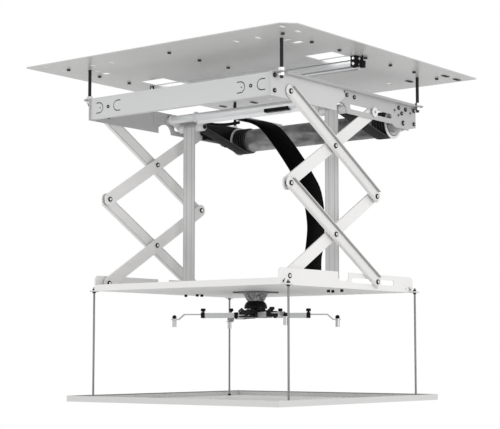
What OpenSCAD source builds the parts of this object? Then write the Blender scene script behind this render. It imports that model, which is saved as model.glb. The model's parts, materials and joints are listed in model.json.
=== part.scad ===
// Projector lift: two belts and a motor tube let down a platform on a two-stage scissor.
// All sizes are in millimetres. +X runs along the front channel, +Y points to the back, +Z points up.
// The origin is the centre of the ceiling plate's top face. The lift is drawn partly lowered.

/* [Ceiling plate] */
// Side of the square ceiling plate
plate_side = 800; // [760:5:900]
// Thickness of the ceiling plate
plate_thick = 2; // [1.5:0.5:3]
// Cut at three corners of the ceiling plate
plate_corner_cut = 6; // [4:1:10]
// Cut at the front right corner of the ceiling plate
near_corner_cut = 28; // [20:1:40]
// Distance of the outer anchor holes from the plate's edge
anchor_inset = 75; // [60:1:90]
// Rows of anchor holes from front to back
anchor_rows = 7; // [3:2:7]
// Radius of an anchor hole
anchor_hole_r = 3.3; // [3:0.1:3.8]
// Radius of the collar under an anchor hole
anchor_collar_r = 4.5; // [4.2:0.1:5.5]
// Height of the collar under an anchor hole
anchor_collar_height = 4; // [2:0.5:6]
// Distance from the middle to the near side of a window
window_inner = 218; // [200:1:230]
// Length of a window along X
window_length = 80; // [40:1:100]
// Distance from the middle to the front side of the windows
window_front = 98; // [80:1:110]
// Depth of a window along Y
window_depth = 62; // [20:1:64]
// Length of a light slot
light_slot_length = 24; // [12:1:28]
// Width of a light slot
light_slot_width = 9; // [5:0.5:12]

/* [Cross rail] */
// Half length of the cross rail
rail_half_length = 305; // [290:1:310]
// Side of the rail's square section
rail_side = 25; // [20:1:30]
// Distance of the rail's middle line in front of the centre
rail_forward = 21.5; // [20:0.5:23]
// Mouth width of the rail's grooves
rail_groove_mouth = 6; // [4:0.5:8]
// Depth of the rail's grooves
rail_groove_depth = 6; // [3:0.5:8]
// Length of the black end fitting
rail_end_length = 16; // [12:1:26]
// Radius of the dark rod under the rail
rail_rod_r = 4.5; // [3:0.5:6]
// Side of the small black box beside the rail
rail_box_side = 11; // [9:0.5:14]
// Gap between the end fitting and the small box
rail_box_gap = 4; // [2:0.5:8]

/* [Lift frame] */
// Drop from the ceiling plate's top face to the frame's top
frame_drop = 76; // [70:1:90]
// Height of the side plates
frame_height = 54; // [52:0.5:58]
// Width over the side plates
frame_width = 554; // [548:1:560]
// Depth of the side plates
frame_depth = 607; // [600:1:612]
// Sheet metal thickness
sheet = 2; // [1.6:0.1:2.2]
// Width of the side plates' top flange
flange_width = 15; // [12:0.5:18]
// Half width of the ears that hold the hanger rods
ear_half = 14; // [11:0.5:16]
// Rear end of the front sheet, in front of the centre
front_sheet_end = 17; // [14:0.5:20]
// Front end of the rear sheet, in front of the centre
rear_sheet_start = 70; // [66:1:80]
// Extra height of the lobe round the drum's axle
lobe_drop = 5.5; // [4:0.5:10]
// Front edge of the front sheet's notch for the crossing pins
notch_front = 50.5; // [48:0.5:52]
// Distance from the centre to the middle of the rear sheet's round notch
notch_forward = 28; // [26:0.5:30]
// Radius of the rear sheet's round notch
notch_r = 24; // [22:0.5:26]
// Height of the upright lip on the top flange's outer edge
flange_lip = 4; // [2:0.5:6]
// Distance from the side plates' front edge to the front channel
channel_setback = 5; // [3:0.5:8]
// Height of the front channel
channel_height = 51.5; // [48:0.5:52]
// Width of the front channel's flanges
channel_flange = 10; // [6:0.5:14]
// Radius of the lanced arcs in the front channel
lance_r = 13.5; // [10:0.5:15]
// Width of a lanced cut
lance_cut = 2.4; // [1:0.1:2.5]
// Length of a lanced arc's straight legs
lance_leg = 10; // [6:0.5:12]
// Distance from the middle to the lanced pattern's screw
lance_centre = 217; // [205:1:222]
// Distance from the pattern's screw to the tip of each lanced arc
lance_tip = 16.5; // [14:0.5:20]

/* [Hanging and drop rods] */
// Distance of all rods from the middle, along X
rod_x = 292; // [290:0.5:294]
// Distance of the hanger rods from the middle, along Y
hanger_y = 285; // [280:1:288]
// Radius of a hanger rod
hanger_r = 4; // [3:0.5:5]
// Width across the flats of a hanger nut
hanger_nut_flats = 13; // [11:0.5:15]
// Thickness of a hanger nut
hanger_nut_thick = 6.5; // [5:0.5:8]
// Radius of a hanger washer
hanger_washer_r = 8.5; // [8:0.5:10]
// Thickness of a hanger washer
hanger_washer_thick = 1.6; // [1:0.1:2]
// Distance of the drop rods from the middle, along Y
drop_y = 262; // [256:1:266]
// Radius of a drop rod
drop_r = 2.5; // [2:0.25:3]
// Width across the flats of a drop nut
drop_nut_flats = 8; // [7:0.5:10]
// Thickness of a drop nut
drop_nut_thick = 4; // [3:0.5:5]

/* [Scissor] */
// Distance between an arm's two end pivots
arm_pitch = 404; // [396:1:410]
// Angle of the arms to the horizontal, as drawn
arm_angle = 30.5; // [26:0.5:36]
// Width of an arm
arm_width = 30; // [26:0.5:32]
// Distance of the fixed front pivots from the middle
pivot_forward = 236.5; // [232:0.5:240]
// Height of the upper pivots under the frame's top
pivot_drop = 36; // [34:0.5:38]
// Thickness of a flat inner arm
inner_arm_thick = 4; // [3:0.5:4.5]
// Height of the outer arms' lips over their web
arm_lip = 7; // [4:0.5:8]
// Radius of a pivot pin
pin_r = 4; // [3:0.25:4.5]
// Radius of a pivot pin's head
pin_head_r = 6; // [5:0.5:7]
// Thickness of a pivot pin's head
pin_head_thick = 2.5; // [1.5:0.25:3]
// Radius of a spacer bush
bush_r = 8; // [7:0.5:9]
// Free gap between the inner arm and the side sheets
arm_gap = 2; // [1.5:0.1:2.4]
// Height of the slots for the sliding pivots
slot_height = 12; // [11:0.5:13]
// Front end of the slots, behind the middle
slot_start = 8; // [4:0.5:10]
// Length of the slots
slot_length = 183; // [178:0.5:186]

/* [Belt drive] */
// Radius of the silver cross tube
cross_tube_r = 10; // [8:0.5:10.5]
// Distance of the cross tube in front of the middle
cross_tube_forward = 11.4; // [10:0.2:14]
// Height of the cross tube's axis under the frame's top
cross_tube_drop = 17.4; // [15:0.2:19]
// Height of the rib under the cross tube
cross_rib_height = 9; // [6:0.5:10]
// Radius of a guide roller
roller_r = 10.5; // [8:0.5:11]
// Length of a guide roller
roller_length = 76; // [70:1:76]
// Room between a belt's outer edge and the winding tube's end
belt_end_room = 5.5; // [4:0.5:7]
// Distance of the guide rollers behind the middle
roller_back = 19.5; // [17:0.5:22]
// Height of the guide rollers' axis under the frame's top
roller_drop = 38; // [36:0.5:40]
// Thickness of a roller bracket
roller_bracket_thick = 2.5; // [2:0.1:2.8]
// Radius of a roller axle
roller_axle_r = 3; // [2:0.25:4]
// Width of a belt
belt_width = 38; // [30:1:38]
// Thickness of a belt
belt_thick = 1.4; // [1:0.1:1.6]
// Radius of the winding tube
drum_r = 30; // [27:0.5:32]
// Wall of the winding tube
drum_wall = 3; // [2:0.25:4]
// Distance of the winding tube behind the middle
drum_back = 243; // [238:1:246]
// Height of the winding tube's axis under the frame's top
drum_drop = 46; // [44:0.5:48]
// Turns of belt wound on the tube
coil_turns = 1.5; // [1:0.25:2]
// Gap between two turns of wound belt
coil_gap = 0.5; // [0.45:0.05:0.6]
// Radius of the spool flanges
spool_r = 36.5; // [35.5:0.5:40]
// Room between the winding tube's end and the side plate
drum_end_room = 27; // [25:0.5:29]
// Front end of the control box beside the motor head, behind the middle
control_box_start = 112; // [100:1:130]
// Radius of the axle ends that show on the side plates
axle_end_r = 6.5; // [5:0.5:8]
// Width of the flat bar that carries the cable sleeve
cable_bar_width = 20; // [14:1:24]
// Thickness of the cable bar
cable_bar_thick = 3; // [2:0.5:4]
// Height of the cable bar's top under the frame's top
cable_bar_drop = 20.1; // [18:0.1:22]
// Distance of the cable bar to the left of the middle
cable_bar_left = 80; // [70:1:90]
// Rear end of the cable bar
cable_bar_back = 204; // [190:1:206]
// Width of the flat cable sleeve
sleeve_width = 52; // [40:1:60]
// Thickness of the flat cable sleeve
sleeve_thick = 3; // [2:0.5:4]
// Distance of the sleeve's middle behind the centre
sleeve_back = 60; // [56:1:70]

/* [Platform] */
// Width and depth of the platform
platform_side = 554; // [548:1:560]
// Height of the platform's folded side brackets above its floor
bracket_height = 35.5; // [34:0.5:38]
// Height of the lower pivots above the platform's floor
lower_pivot_rise = 18; // [17.5:0.5:19]
// Height of the platform's front flange
platform_flange = 15; // [10:0.5:18]
// Length of a drop rod's tab
tab_length = 23; // [21:0.5:26]
// Width of a drop rod's tab
tab_width = 18; // [14:1:24]
// Radius of the corners at the top of the side brackets
bracket_corner_r = 12; // [8:0.5:14]
// Width of the side brackets' foot on the floor
bracket_foot = 14; // [10:0.5:16]
// Front edge of the notch in the side brackets
lower_notch_front = 48; // [44:0.5:50]
// Rear edge of the notch in the side brackets
lower_notch_back = 5.5; // [4:0.5:6]
// Depth of the notch in the side brackets
lower_notch_depth = 20; // [17:0.5:21]
// Length of a belt clamp along X
clamp_length = 62; // [60:1:66]
// Depth of a belt clamp along Y
clamp_depth = 18; // [14:0.5:20]
// Thickness of a belt clamp plate
clamp_thick = 2.5; // [2:0.5:3]

/* [Bottom tray] */
// Width of the bottom tray along X
tray_width = 630; // [620:2:640]
// Depth of the bottom tray along Y
tray_depth = 656; // [646:2:666]
// Height of the bottom tray's rim
tray_rim = 14; // [10:0.5:18]
// Drop from the platform's floor to the bottom tray's underside
tray_drop = 265.5; // [240:0.5:290]

/* [Projector bracket] */
// Side of the bracket's top plate
foot_plate_side = 80; // [76:1:96]
// Thickness of the bracket's top plate
foot_plate_thick = 3; // [2:0.5:4]
// Upper radius of the grey cone
cone_top_r = 31.5; // [29:0.5:34]
// Lower radius of the grey cone
cone_low_r = 21; // [19:0.5:23]
// Height of the grey cone
cone_height = 19.5; // [16:0.5:22]
// Upper radius of the black ball cover
cover_top_r = 19.5; // [19:0.5:21]
// Lower radius of the black ball cover
cover_low_r = 27; // [24:0.5:28]
// Height of the black ball cover
cover_height = 18.5; // [18:0.5:20]
// Radius of the ball
ball_r = 12; // [10:0.5:13]
// Radius of the neck between ball and hub
neck_r = 8; // [6:0.5:9]
// Gap between the ball cover and the hub
hub_gap = 4; // [3.5:0.25:5]
// Radius of the hub
hub_r = 41; // [38:0.5:44]
// Height of the hub's upper drum
hub_top_height = 10.5; // [8:0.5:12]
// Thickness of the arms' tongues
tongue_thick = 3.6; // [3:0.2:4]
// Thickness of the hub's lower disc
hub_low_thick = 3.5; // [2:0.5:5]
// Distance from the hub's axis to an arm's swing pin
swing_r = 29; // [27:0.5:30]
// Half angle between the arms of one side
arm_spread = 35; // [32:1:38]
// Start of an arm's channel from the hub's axis
reach_start = 50; // [48:0.5:54]
// End of an arm's channel from the hub's axis
reach_end = 124; // [118:1:130]
// Width of an arm's channel
reach_width = 24; // [20:0.5:26]
// Height of an arm's channel
reach_height = 12; // [10:0.5:14]
// Wall of an arm's channel
reach_wall = 2; // [1.5:0.1:2.5]
// Length of the black end clamp
end_clamp_length = 9; // [7:0.5:12]
// Width of the flat foot bar
foot_bar_width = 14; // [10:0.5:15]
// Thickness of the flat foot bar
foot_bar_thick = 3; // [2:0.25:4]
// Distance from the hub's axis to the short arms' posts
short_reach = 199; // [190:1:210]
// Distance from the hub's axis to the long arms' posts
long_reach = 228; // [215:1:235]
// Drop of a post's eye under the foot bar
foot_step = 12; // [8:0.5:16]
// Radius of the stud between an eye and its knob, and of the bore in its post
stud_r = 2; // [1.5:0.25:3]
// Radius of a projector post
post_r = 5; // [4:0.5:6]
// Length of a projector post under its eye
post_length = 17; // [12:1:24]
// Radius of a ball knob
knob_r = 4.5; // [3.5:0.25:6]

/* [Fits] */
// Radial clearance of a turning pin in its hole
pin_clearance = 0.05; // [0.02:0.01:0.1]
// Clearance of a slot roller in its slot, on each side
slot_clearance = 0.1; // [0.05:0.01:0.15]
// Gap between faces that slide on each other
play = 0.1; // [0.05:0.05:0.2]
// Gap round the soft belts and the sleeve
soft_gap = 0.3; // [0.3:0.05:0.4]

/* [Hidden] */
round_fn = 48;
// How far a cut runs past the face it opens
over = 1;

// Light slots near each corner of the ceiling plate, as shares of its half side
corner_slot_shares = [[0.893, 0.925], [0.893, 0.783], [0.625, 0.79], [0.475, 0.788]];
// Dark slot and light opening beside each front hanger rod, as shares of the plate's half side
rod_slot_shares = [0.725, 0.65];
rod_window_shares = [0.735, 0.565];
// Screws in the front sheet: share of the half depth, then share of the height from the top
front_screw_shares = [[-0.962, 0.148], [-0.962, 0.778]];
// Screws in the rear sheet
rear_screw_shares = [[-0.022, 0.204], [0.082, 0.222], [0.733, 0.194], [0.836, 0.2], [0.778, 0.415],
  [0.969, 0.157], [0.967, 0.785]];
// Small open holes in the rear sheet
open_hole_shares = [[0.668, 0.415], [0.727, 0.606], [0.909, 0.385]];
screw_r_share = 0.5;
// Height of the front sheet's slanted edge over its lower edge, as a share of the frame's height
notch_share = 0.27;
// Height of the rear sheet's front part over the lower edge, as a share of its notch's radius
rear_rise_share = 0.9;
screw_head_r = 5;
screw_head_thick = 2.5;
open_hole_r = 2;
// The sleeve's middle line as [x, z], hand-chosen from the cable bar to the platform's floor
sleeve_path = [[-93.2, -101.8], [-70.4, -102.8], [-36, -112.4], [-0.8, -130], [38.4, -172], [79.2, -224.8],
  [100, -256], [120.4, -288], [131.6, -324], [137.6, -364], [138.4, -406.4], [135.2, -448], [128.8, -488]];
sleeve_end_x = 127.2;

frame_top = -frame_drop;
frame_low = frame_top - frame_height;
half_width = frame_width / 2;
half_depth = frame_depth / 2;
pivot_y = -pivot_forward;
top_z = frame_top - pivot_drop;
stage_rise = arm_pitch * sin(arm_angle);
stage_reach = arm_pitch * cos(arm_angle);
back_y = pivot_y + stage_reach;
cross_y = pivot_y + stage_reach / 2;
mid_z = top_z - stage_rise;
low_z = mid_z - stage_rise;
floor_top = low_z - lower_pivot_rise;
floor_low = floor_top - sheet;
tray_low = floor_low - tray_drop + sheet;

// Layers of the scissor, counted outwards from the middle
plate_out = half_width;
plate_in = plate_out - sheet;
rear_in = plate_in - sheet;
outer_web = plate_out + sheet;
outer_face = outer_web + sheet;
inner_out = rear_in - arm_gap;
inner_in = inner_out - inner_arm_thick;
head_in = inner_in - pin_head_thick;

rail_y = -rail_forward;
tube_y = -cross_tube_forward;
tube_z = frame_top - cross_tube_drop;
roller_z = frame_top - roller_drop;
drum_z = frame_top - drum_drop;
coil_start = drum_r + soft_gap;
coil_pitch = belt_thick + coil_gap;
coil_r = coil_start + coil_pitch * coil_turns + belt_thick;
run_r = roller_r + soft_gap;
lay_r = coil_r + soft_gap;
drum_half_length = rear_in - drum_end_room;
belt_centre = drum_half_length - belt_end_room - belt_width / 2;
roller_in = belt_centre - roller_length / 2;
roller_out = belt_centre + roller_length / 2;
belt_in = belt_centre - belt_width / 2;
side_gap = 5 * play;

module yz(x, t) {
  translate([x, 0, 0]) rotate([90, 0, 90]) linear_extrude(t) children();
}

module xz(y, t) {
  translate([0, y + t, 0]) rotate([90, 0, 0]) linear_extrude(t) children();
}

module slab(x0, x1, y0, y1, z0, z1) {
  translate([x0, y0, z0]) cube([x1 - x0, y1 - y0, z1 - z0]);
}

module bar_x(x0, x1, y, z, r) {
  translate([x0, y, z]) rotate([0, 90, 0]) cylinder(h = x1 - x0, r = r, $fn = round_fn);
}

module bar_y(x, y0, y1, z, r) {
  translate([x, y1, z]) rotate([90, 0, 0]) cylinder(h = y1 - y0, r = r, $fn = round_fn);
}

module bar_z(x, y, z0, z1, r) {
  translate([x, y, z0]) cylinder(h = z1 - z0, r = r, $fn = round_fn);
}

module nut_z(x, y, z, flats, thick) {
  translate([x, y, z]) cylinder(h = thick, r = flats / 2 / cos(30), $fn = 6);
}

module both_sides() {
  children();
  mirror([1, 0, 0]) children();
}

module stadium(length, width) {
  translate([-length / 2 + width / 2, 0]) circle(r = width / 2, $fn = round_fn);
  translate([length / 2 - width / 2, 0]) circle(r = width / 2, $fn = round_fn);
  translate([-length / 2 + width / 2, -width / 2]) square([length - width, width]);
}

module dot(r) {
  circle(r = r, $fn = round_fn);
}

// Ceiling plate
module at_anchors() {
  hole_x = plate_side / 2 - anchor_inset;
  hole_step = 2 * hole_x / (anchor_rows - 1);
  for (column = [-1:1])
    for (row = [0:anchor_rows - 1])
      if (column != 0 || abs(-hole_x + row * hole_step + rail_forward) > rail_side)
        translate([column * hole_x, -hole_x + row * hole_step, 0]) children();
}

module ceiling_plate() {
  half = plate_side / 2;
  color([0.76, 0.76, 0.74])
  translate([0, 0, -plate_thick])
  linear_extrude(plate_thick)
  difference() {
    polygon([[-half + plate_corner_cut, -half], [half - near_corner_cut, -half],
      [half, -half + near_corner_cut], [half, half - plate_corner_cut],
      [half - plate_corner_cut, half], [-half + plate_corner_cut, half],
      [-half, half - plate_corner_cut], [-half, -half + plate_corner_cut]]);
    at_anchors() dot(anchor_hole_r);
    for (side = [-1, 1]) {
      translate([side * (window_inner + window_length / 2), window_depth / 2 - window_front])
        square([window_length, window_depth], center = true);
      for (share = corner_slot_shares)
        for (end = [-1, 1])
          translate([side * share[0] * half, end * share[1] * half])
            rotate(90) stadium(light_slot_length, light_slot_width);
      translate([side * rod_slot_shares[0] * half, -rod_slot_shares[1] * half])
        stadium(light_slot_length, light_slot_width);
      translate([side * rod_window_shares[0] * half, -rod_window_shares[1] * half])
        square([light_slot_length, 2 * light_slot_width], center = true);
    }
  }
}

module plate_collars() {
  low = -plate_thick - anchor_collar_height;
  color([0.12, 0.12, 0.13])
  at_anchors()
    difference() {
      bar_z(0, 0, low, -plate_thick, anchor_collar_r);
      bar_z(0, 0, low - over, -plate_thick + over, anchor_hole_r);
    }
}

// Cross rail under the ceiling plate
module cross_rail() {
  half = rail_side / 2;
  cavity = rail_groove_mouth * 1.6;
  lip = rail_groove_depth / 3;
  color([0.8, 0.81, 0.82])
  translate([0, rail_y, -plate_thick - half])
  yz(-rail_half_length, 2 * rail_half_length)
  difference() {
    square(rail_side, center = true);
    for (turn = [0, 90, 180, 270]) {
      rotate(turn) translate([half - rail_groove_depth, -rail_groove_mouth / 2])
        square([rail_groove_depth + over, rail_groove_mouth]);
      rotate(turn) translate([half - rail_groove_depth, -cavity / 2])
        square([rail_groove_depth - lip, cavity]);
    }
    dot(rail_side / 10);
  }
}

module rail_fittings() {
  half = rail_side / 2;
  end_x = rail_half_length + rail_end_length;
  box_x = end_x + rail_box_gap;
  box_top = -plate_thick - half;
  mouth = rail_groove_mouth / 2;
  rod_drop = sqrt(rail_rod_r * rail_rod_r - mouth * mouth);
  color([0.08, 0.08, 0.09]) {
    both_sides()
      slab(rail_half_length, end_x, rail_y - half, rail_y + half, -plate_thick - rail_side, -plate_thick);
    slab(box_x, box_x + rail_box_side, rail_y - rail_box_side / 2, rail_y + rail_box_side / 2,
      box_top - 3 * rail_box_side / 2, box_top);
    bar_z(box_x + rail_box_side / 2, rail_y, box_top, -plate_thick, rail_box_side / 5);
    bar_x(-rail_half_length, end_x, rail_y, -plate_thick - rail_side - rod_drop, rail_rod_r);
  }
}

// Hanger rods
module hanger_rods() {
  low = frame_top - sheet - 2 * hanger_nut_thick;
  color([0.22, 0.22, 0.23])
  for (sx = [-1, 1])
    for (sy = [-1, 1])
      bar_z(sx * rod_x, sy * hanger_y, low, -plate_thick, hanger_r);
}

module hanger_nut(z) {
  for (sx = [-1, 1])
    for (sy = [-1, 1])
      difference() {
        nut_z(sx * rod_x, sy * hanger_y, z, hanger_nut_flats, hanger_nut_thick);
        bar_z(sx * rod_x, sy * hanger_y, z - over, z + hanger_nut_thick + over, hanger_r);
      }
}

module hanger_washer(z) {
  for (sx = [-1, 1])
    for (sy = [-1, 1])
      difference() {
        bar_z(sx * rod_x, sy * hanger_y, z, z + hanger_washer_thick, hanger_washer_r);
        bar_z(sx * rod_x, sy * hanger_y, z - over, z + hanger_washer_thick + over, hanger_r);
      }
}

module hanger_nuts() {
  color([0.85, 0.85, 0.86]) {
    hanger_washer(frame_top);
    hanger_nut(frame_top + hanger_washer_thick);
    hanger_washer(frame_top - sheet - hanger_washer_thick);
    hanger_nut(frame_top - sheet - hanger_washer_thick - hanger_nut_thick);
  }
}

// Front channel
module lanced_arc() {
  difference() {
    union() {
      dot(lance_r);
      translate([-lance_leg, -lance_r]) square([lance_leg, 2 * lance_r]);
    }
    dot(lance_r - lance_cut);
    translate([-lance_leg - over, lance_cut - lance_r])
      square([lance_leg + over, 2 * (lance_r - lance_cut)]);
    translate([-lance_leg - lance_r, -lance_r - over]) square([lance_r, 2 * (lance_r + over)]);
  }
}

module front_channel() {
  face = -half_depth + channel_setback;
  low = frame_top - channel_height;
  pattern_z = frame_top - channel_height / 2;
  tab = 3 * channel_flange / 2;
  color([0.87, 0.88, 0.89]) {
    xz(face, sheet)
    difference() {
      translate([-plate_in, low]) square([2 * plate_in, channel_height]);
      for (side = [-1, 1]) {
        translate([side * lance_centre, pattern_z]) dot(screw_head_r * screw_r_share);
        translate([side * lance_centre, pattern_z]) {
          translate([-lance_tip - lance_r, 0]) lanced_arc();
          translate([lance_tip + lance_r, 0]) mirror([1, 0]) lanced_arc();
          translate([-2 * lance_r, 0]) dot(open_hole_r);
        }
      }
    }
    slab(-plate_in, plate_in, face + sheet, face + sheet + channel_flange, frame_top - sheet, frame_top);
    slab(-plate_in, plate_in, face + sheet, face + sheet + channel_flange, low, low + sheet);
    both_sides()
      difference() {
        slab(plate_in - sheet, plate_in, face + sheet, face + sheet + tab, low + sheet, frame_top - sheet);
        for (share = front_screw_shares)
          bar_x(plate_in - sheet - over, plate_in + over, share[0] * half_depth,
            frame_top - share[1] * frame_height, screw_head_r * screw_r_share);
      }
  }
}

// Side plates
module ear(y) {
  translate([rod_x, y]) dot(ear_half);
  translate([plate_out, y - ear_half]) square([rod_x - plate_out, 2 * ear_half]);
}

module front_sheet() {
  yz(plate_in, sheet)
  difference() {
    polygon([[-half_depth, frame_top], [-front_sheet_end, frame_top],
      [-front_sheet_end, frame_top - frame_height / 3],
      [-notch_front, frame_low + frame_height * notch_share],
      [-notch_front, frame_low], [-half_depth, frame_low]]);
    translate([pivot_y, top_z]) dot(pin_r);
    for (share = front_screw_shares)
      translate([share[0] * half_depth, frame_top - share[1] * frame_height])
        dot(screw_head_r * screw_r_share);
  }
}

module rear_sheet() {
  lobe_front = drum_back - spool_r;
  lobe_back = drum_back + spool_r / 2;
  rise = frame_low + notch_r * rear_rise_share;
  yz(rear_in, sheet)
  difference() {
    polygon([[-rear_sheet_start, frame_top], [half_depth, frame_top],
      [half_depth, frame_low + lobe_drop / 2], [lobe_back, frame_low - lobe_drop],
      [lobe_front, frame_low - lobe_drop], [lobe_front - 2 * lobe_drop, frame_low],
      [-notch_forward, frame_low], [-notch_forward, rise], [-rear_sheet_start, rise]]);
    translate([-notch_forward, frame_low]) dot(notch_r);
    translate([slot_start + slot_length / 2, top_z]) stadium(slot_length, slot_height);
    for (share = rear_screw_shares)
      translate([share[0] * half_depth, frame_top - share[1] * frame_height])
        dot(screw_head_r * screw_r_share);
    for (share = open_hole_shares)
      translate([share[0] * half_depth, frame_top - share[1] * frame_height]) dot(open_hole_r);
    translate([drum_back, drum_z]) dot(axle_end_r);
  }
}

module side_flanges() {
  translate([0, 0, frame_top - sheet])
  linear_extrude(sheet)
  difference() {
    union() {
      translate([plate_out, -half_depth])
        square([flange_width, half_depth - front_sheet_end - play]);
      translate([plate_in, -front_sheet_end + play])
        square([flange_width + sheet, half_depth + front_sheet_end - play]);
      ear(-hanger_y);
      ear(hanger_y);
    }
    translate([rod_x, -hanger_y]) dot(hanger_r);
    translate([rod_x, hanger_y]) dot(hanger_r);
  }
}

// Upright lips on the flanges' outer edge, between the ears
module flange_lips() {
  edge = plate_out + flange_width;
  slab(edge - sheet, edge, -hanger_y + ear_half, -front_sheet_end - play, frame_top - sheet,
    frame_top + flange_lip);
  slab(edge - sheet, edge, -front_sheet_end + play, hanger_y - ear_half, frame_top - sheet,
    frame_top + flange_lip);
}

module side_plate() {
  front_sheet();
  rear_sheet();
  side_flanges();
  flange_lips();
}

module side_plate_right() {
  color([0.87, 0.88, 0.89]) side_plate();
}

module side_plate_left() {
  color([0.87, 0.88, 0.89]) mirror([1, 0, 0]) side_plate();
}

module side_screw(share, face, grip) {
  y = share[0] * half_depth;
  z = frame_top - share[1] * frame_height;
  bar_x(face - grip, face, y, z, screw_head_r * screw_r_share);
  bar_x(face, face + screw_head_thick, y, z, screw_head_r);
}

module frame_screws() {
  face = -half_depth + channel_setback;
  pattern_z = frame_top - channel_height / 2;
  color([0.7, 0.71, 0.72]) {
    both_sides() {
      for (share = front_screw_shares)
        side_screw(share, plate_out, 2 * sheet);
      for (share = rear_screw_shares)
        side_screw(share, plate_in, sheet);
      bar_y(lance_centre, face, face + sheet, pattern_z, screw_head_r * screw_r_share);
      bar_y(lance_centre, face - screw_head_thick / 2, face, pattern_z, screw_head_r * 0.8);
    }
  }
}

// Cross tube and cable bar
module cross_tube() {
  rib_half = roller_in - side_gap - 2 * roller_bracket_thick;
  color([0.9, 0.91, 0.92])
  difference() {
    bar_x(-rear_in, rear_in, tube_y, tube_z, cross_tube_r);
    bar_x(-rear_in - over, rear_in + over, tube_y, tube_z, cross_tube_r - sheet);
  }
  color([0.9, 0.91, 0.92])
  slab(-rib_half, rib_half, tube_y - sheet / 2, tube_y + sheet / 2, tube_z - cross_tube_r - cross_rib_height,
    tube_z - cross_tube_r + sheet / 2);
}

module cable_bar() {
  high = frame_top - cable_bar_drop;
  left = -cable_bar_left - cable_bar_width / 2;
  right = -cable_bar_left + cable_bar_width / 2;
  color([0.85, 0.86, 0.87])
  difference() {
    slab(left, right, tube_y, cable_bar_back, high - cable_bar_thick, high);
    bar_x(left - over, right + over, tube_y, tube_z, cross_tube_r);
  }
}

// Guide rollers
module roller_bracket(x) {
  across = roller_back - tube_y;
  fall = roller_z - tube_z;
  eye = cross_tube_r + 3 * roller_bracket_thick / 2;
  tip = 3 * roller_axle_r;
  yz(x, roller_bracket_thick)
  difference() {
    union() {
      translate([tube_y, tube_z]) dot(eye);
      translate([roller_back, roller_z]) dot(tip);
      translate([tube_y, tube_z]) rotate(atan2(fall, across))
        translate([0, -tip]) square([norm([across, fall]), 2 * tip]);
    }
    translate([tube_y, tube_z]) dot(cross_tube_r);
    translate([roller_back, roller_z]) dot(roller_axle_r);
  }
}

module roller_brackets() {
  color([0.75, 0.76, 0.77])
  both_sides() {
    roller_bracket(roller_in - side_gap - roller_bracket_thick);
    roller_bracket(roller_out + side_gap);
  }
}

module roller_axles() {
  inner = roller_in - side_gap - roller_bracket_thick;
  outer = roller_out + side_gap + roller_bracket_thick;
  head = 2 * roller_axle_r / 3;
  color([0.72, 0.73, 0.74])
  both_sides() {
    bar_x(inner, outer, roller_back, roller_z, roller_axle_r);
    bar_x(inner - head, inner, roller_back, roller_z, 2 * roller_axle_r);
    bar_x(outer, outer + roller_bracket_thick / 2, roller_back, roller_z, 5 * roller_axle_r / 3);
  }
}

module guide_roller() {
  difference() {
    bar_x(roller_in, roller_out, roller_back, roller_z, roller_r);
    bar_x(roller_in - over, roller_out + over, roller_back, roller_z, roller_axle_r + pin_clearance);
  }
}

module roller_right() {
  color([0.93, 0.93, 0.92]) guide_roller();
}

module roller_left() {
  color([0.93, 0.93, 0.92]) mirror([1, 0, 0]) guide_roller();
}

// Winding tube
module winding_tube() {
  color([0.3, 0.31, 0.32])
  difference() {
    bar_x(-drum_half_length, drum_half_length, drum_back, drum_z, drum_r);
    bar_x(-drum_half_length - over, drum_half_length + over, drum_back, drum_z, drum_r - drum_wall);
  }
}

module spool_flanges() {
  color([0.93, 0.93, 0.92])
  both_sides()
    difference() {
      bar_x(drum_half_length - sheet, drum_half_length, drum_back, drum_z, spool_r);
      bar_x(drum_half_length - sheet - over, drum_half_length + over, drum_back, drum_z, drum_r);
    }
}

// The wound belt is one strip that spirals in from the tube's underside
coil_steps = round(coil_turns * 36);

function coil_angle(i) = run_slope - 90 + i * coil_turns * 360 / coil_steps;
function coil_inner(i) = coil_start + coil_pitch * coil_turns * (1 - i / coil_steps);
function coil_point(i, depth) = ring_point(drum_back, drum_z, coil_inner(i) + depth, coil_angle(i));

echo("least gap between the belt's turns, mm",
  min([for (i = [0:coil_steps - 36]) norm(coil_point(i, 0) - coil_point(i + 36, belt_thick))]));

module belt_coils() {
  color([0.1, 0.1, 0.11])
  both_sides()
    yz(belt_in, belt_width)
    polygon(concat([for (i = [0:coil_steps]) coil_point(i, belt_thick)],
      [for (i = [0:coil_steps]) coil_point(coil_steps - i, 0)]));
}

module drum_plug() {
  stub_r = drum_r - drum_wall - pin_clearance;
  base = rear_in - 3 * sheet / 2;
  bar_x(drum_half_length - spool_r / 2, drum_half_length + side_gap, drum_back, drum_z, stub_r);
  bar_x(drum_half_length + side_gap, base, drum_back, drum_z, 2 * drum_r / 3);
  slab(base, rear_in, drum_back - drum_r, drum_back + drum_r, drum_z - drum_r / 2, frame_top - 2 * sheet);
  bar_x(rear_in, plate_out - sheet / 2, drum_back, drum_z, axle_end_r);
}

module motor_head() {
  color([0.16, 0.16, 0.17])
  mirror([1, 0, 0]) {
    drum_plug();
    slab(drum_half_length + drum_wall, head_in - 2 * side_gap, control_box_start, drum_back,
      frame_low, frame_top - 4 * sheet);
  }
}

module drum_supports() {
  color([0.6, 0.61, 0.62]) drum_plug();
}

// Belts. The static run wraps the guide roller and slopes down to the tube's underside.
function ring_point(y, z, r, angle) = [y + r * cos(angle), z + r * sin(angle)];

run_across = drum_back - roller_back;
run_fall = drum_z - roller_z;
run_reach = run_r + lay_r + belt_thick;
run_slope = atan2(run_fall, run_across) - asin(run_reach / norm([run_across, run_fall]));
run_length = sqrt(run_across * run_across + run_fall * run_fall - run_reach * run_reach);
wrap_steps = 14;

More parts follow.
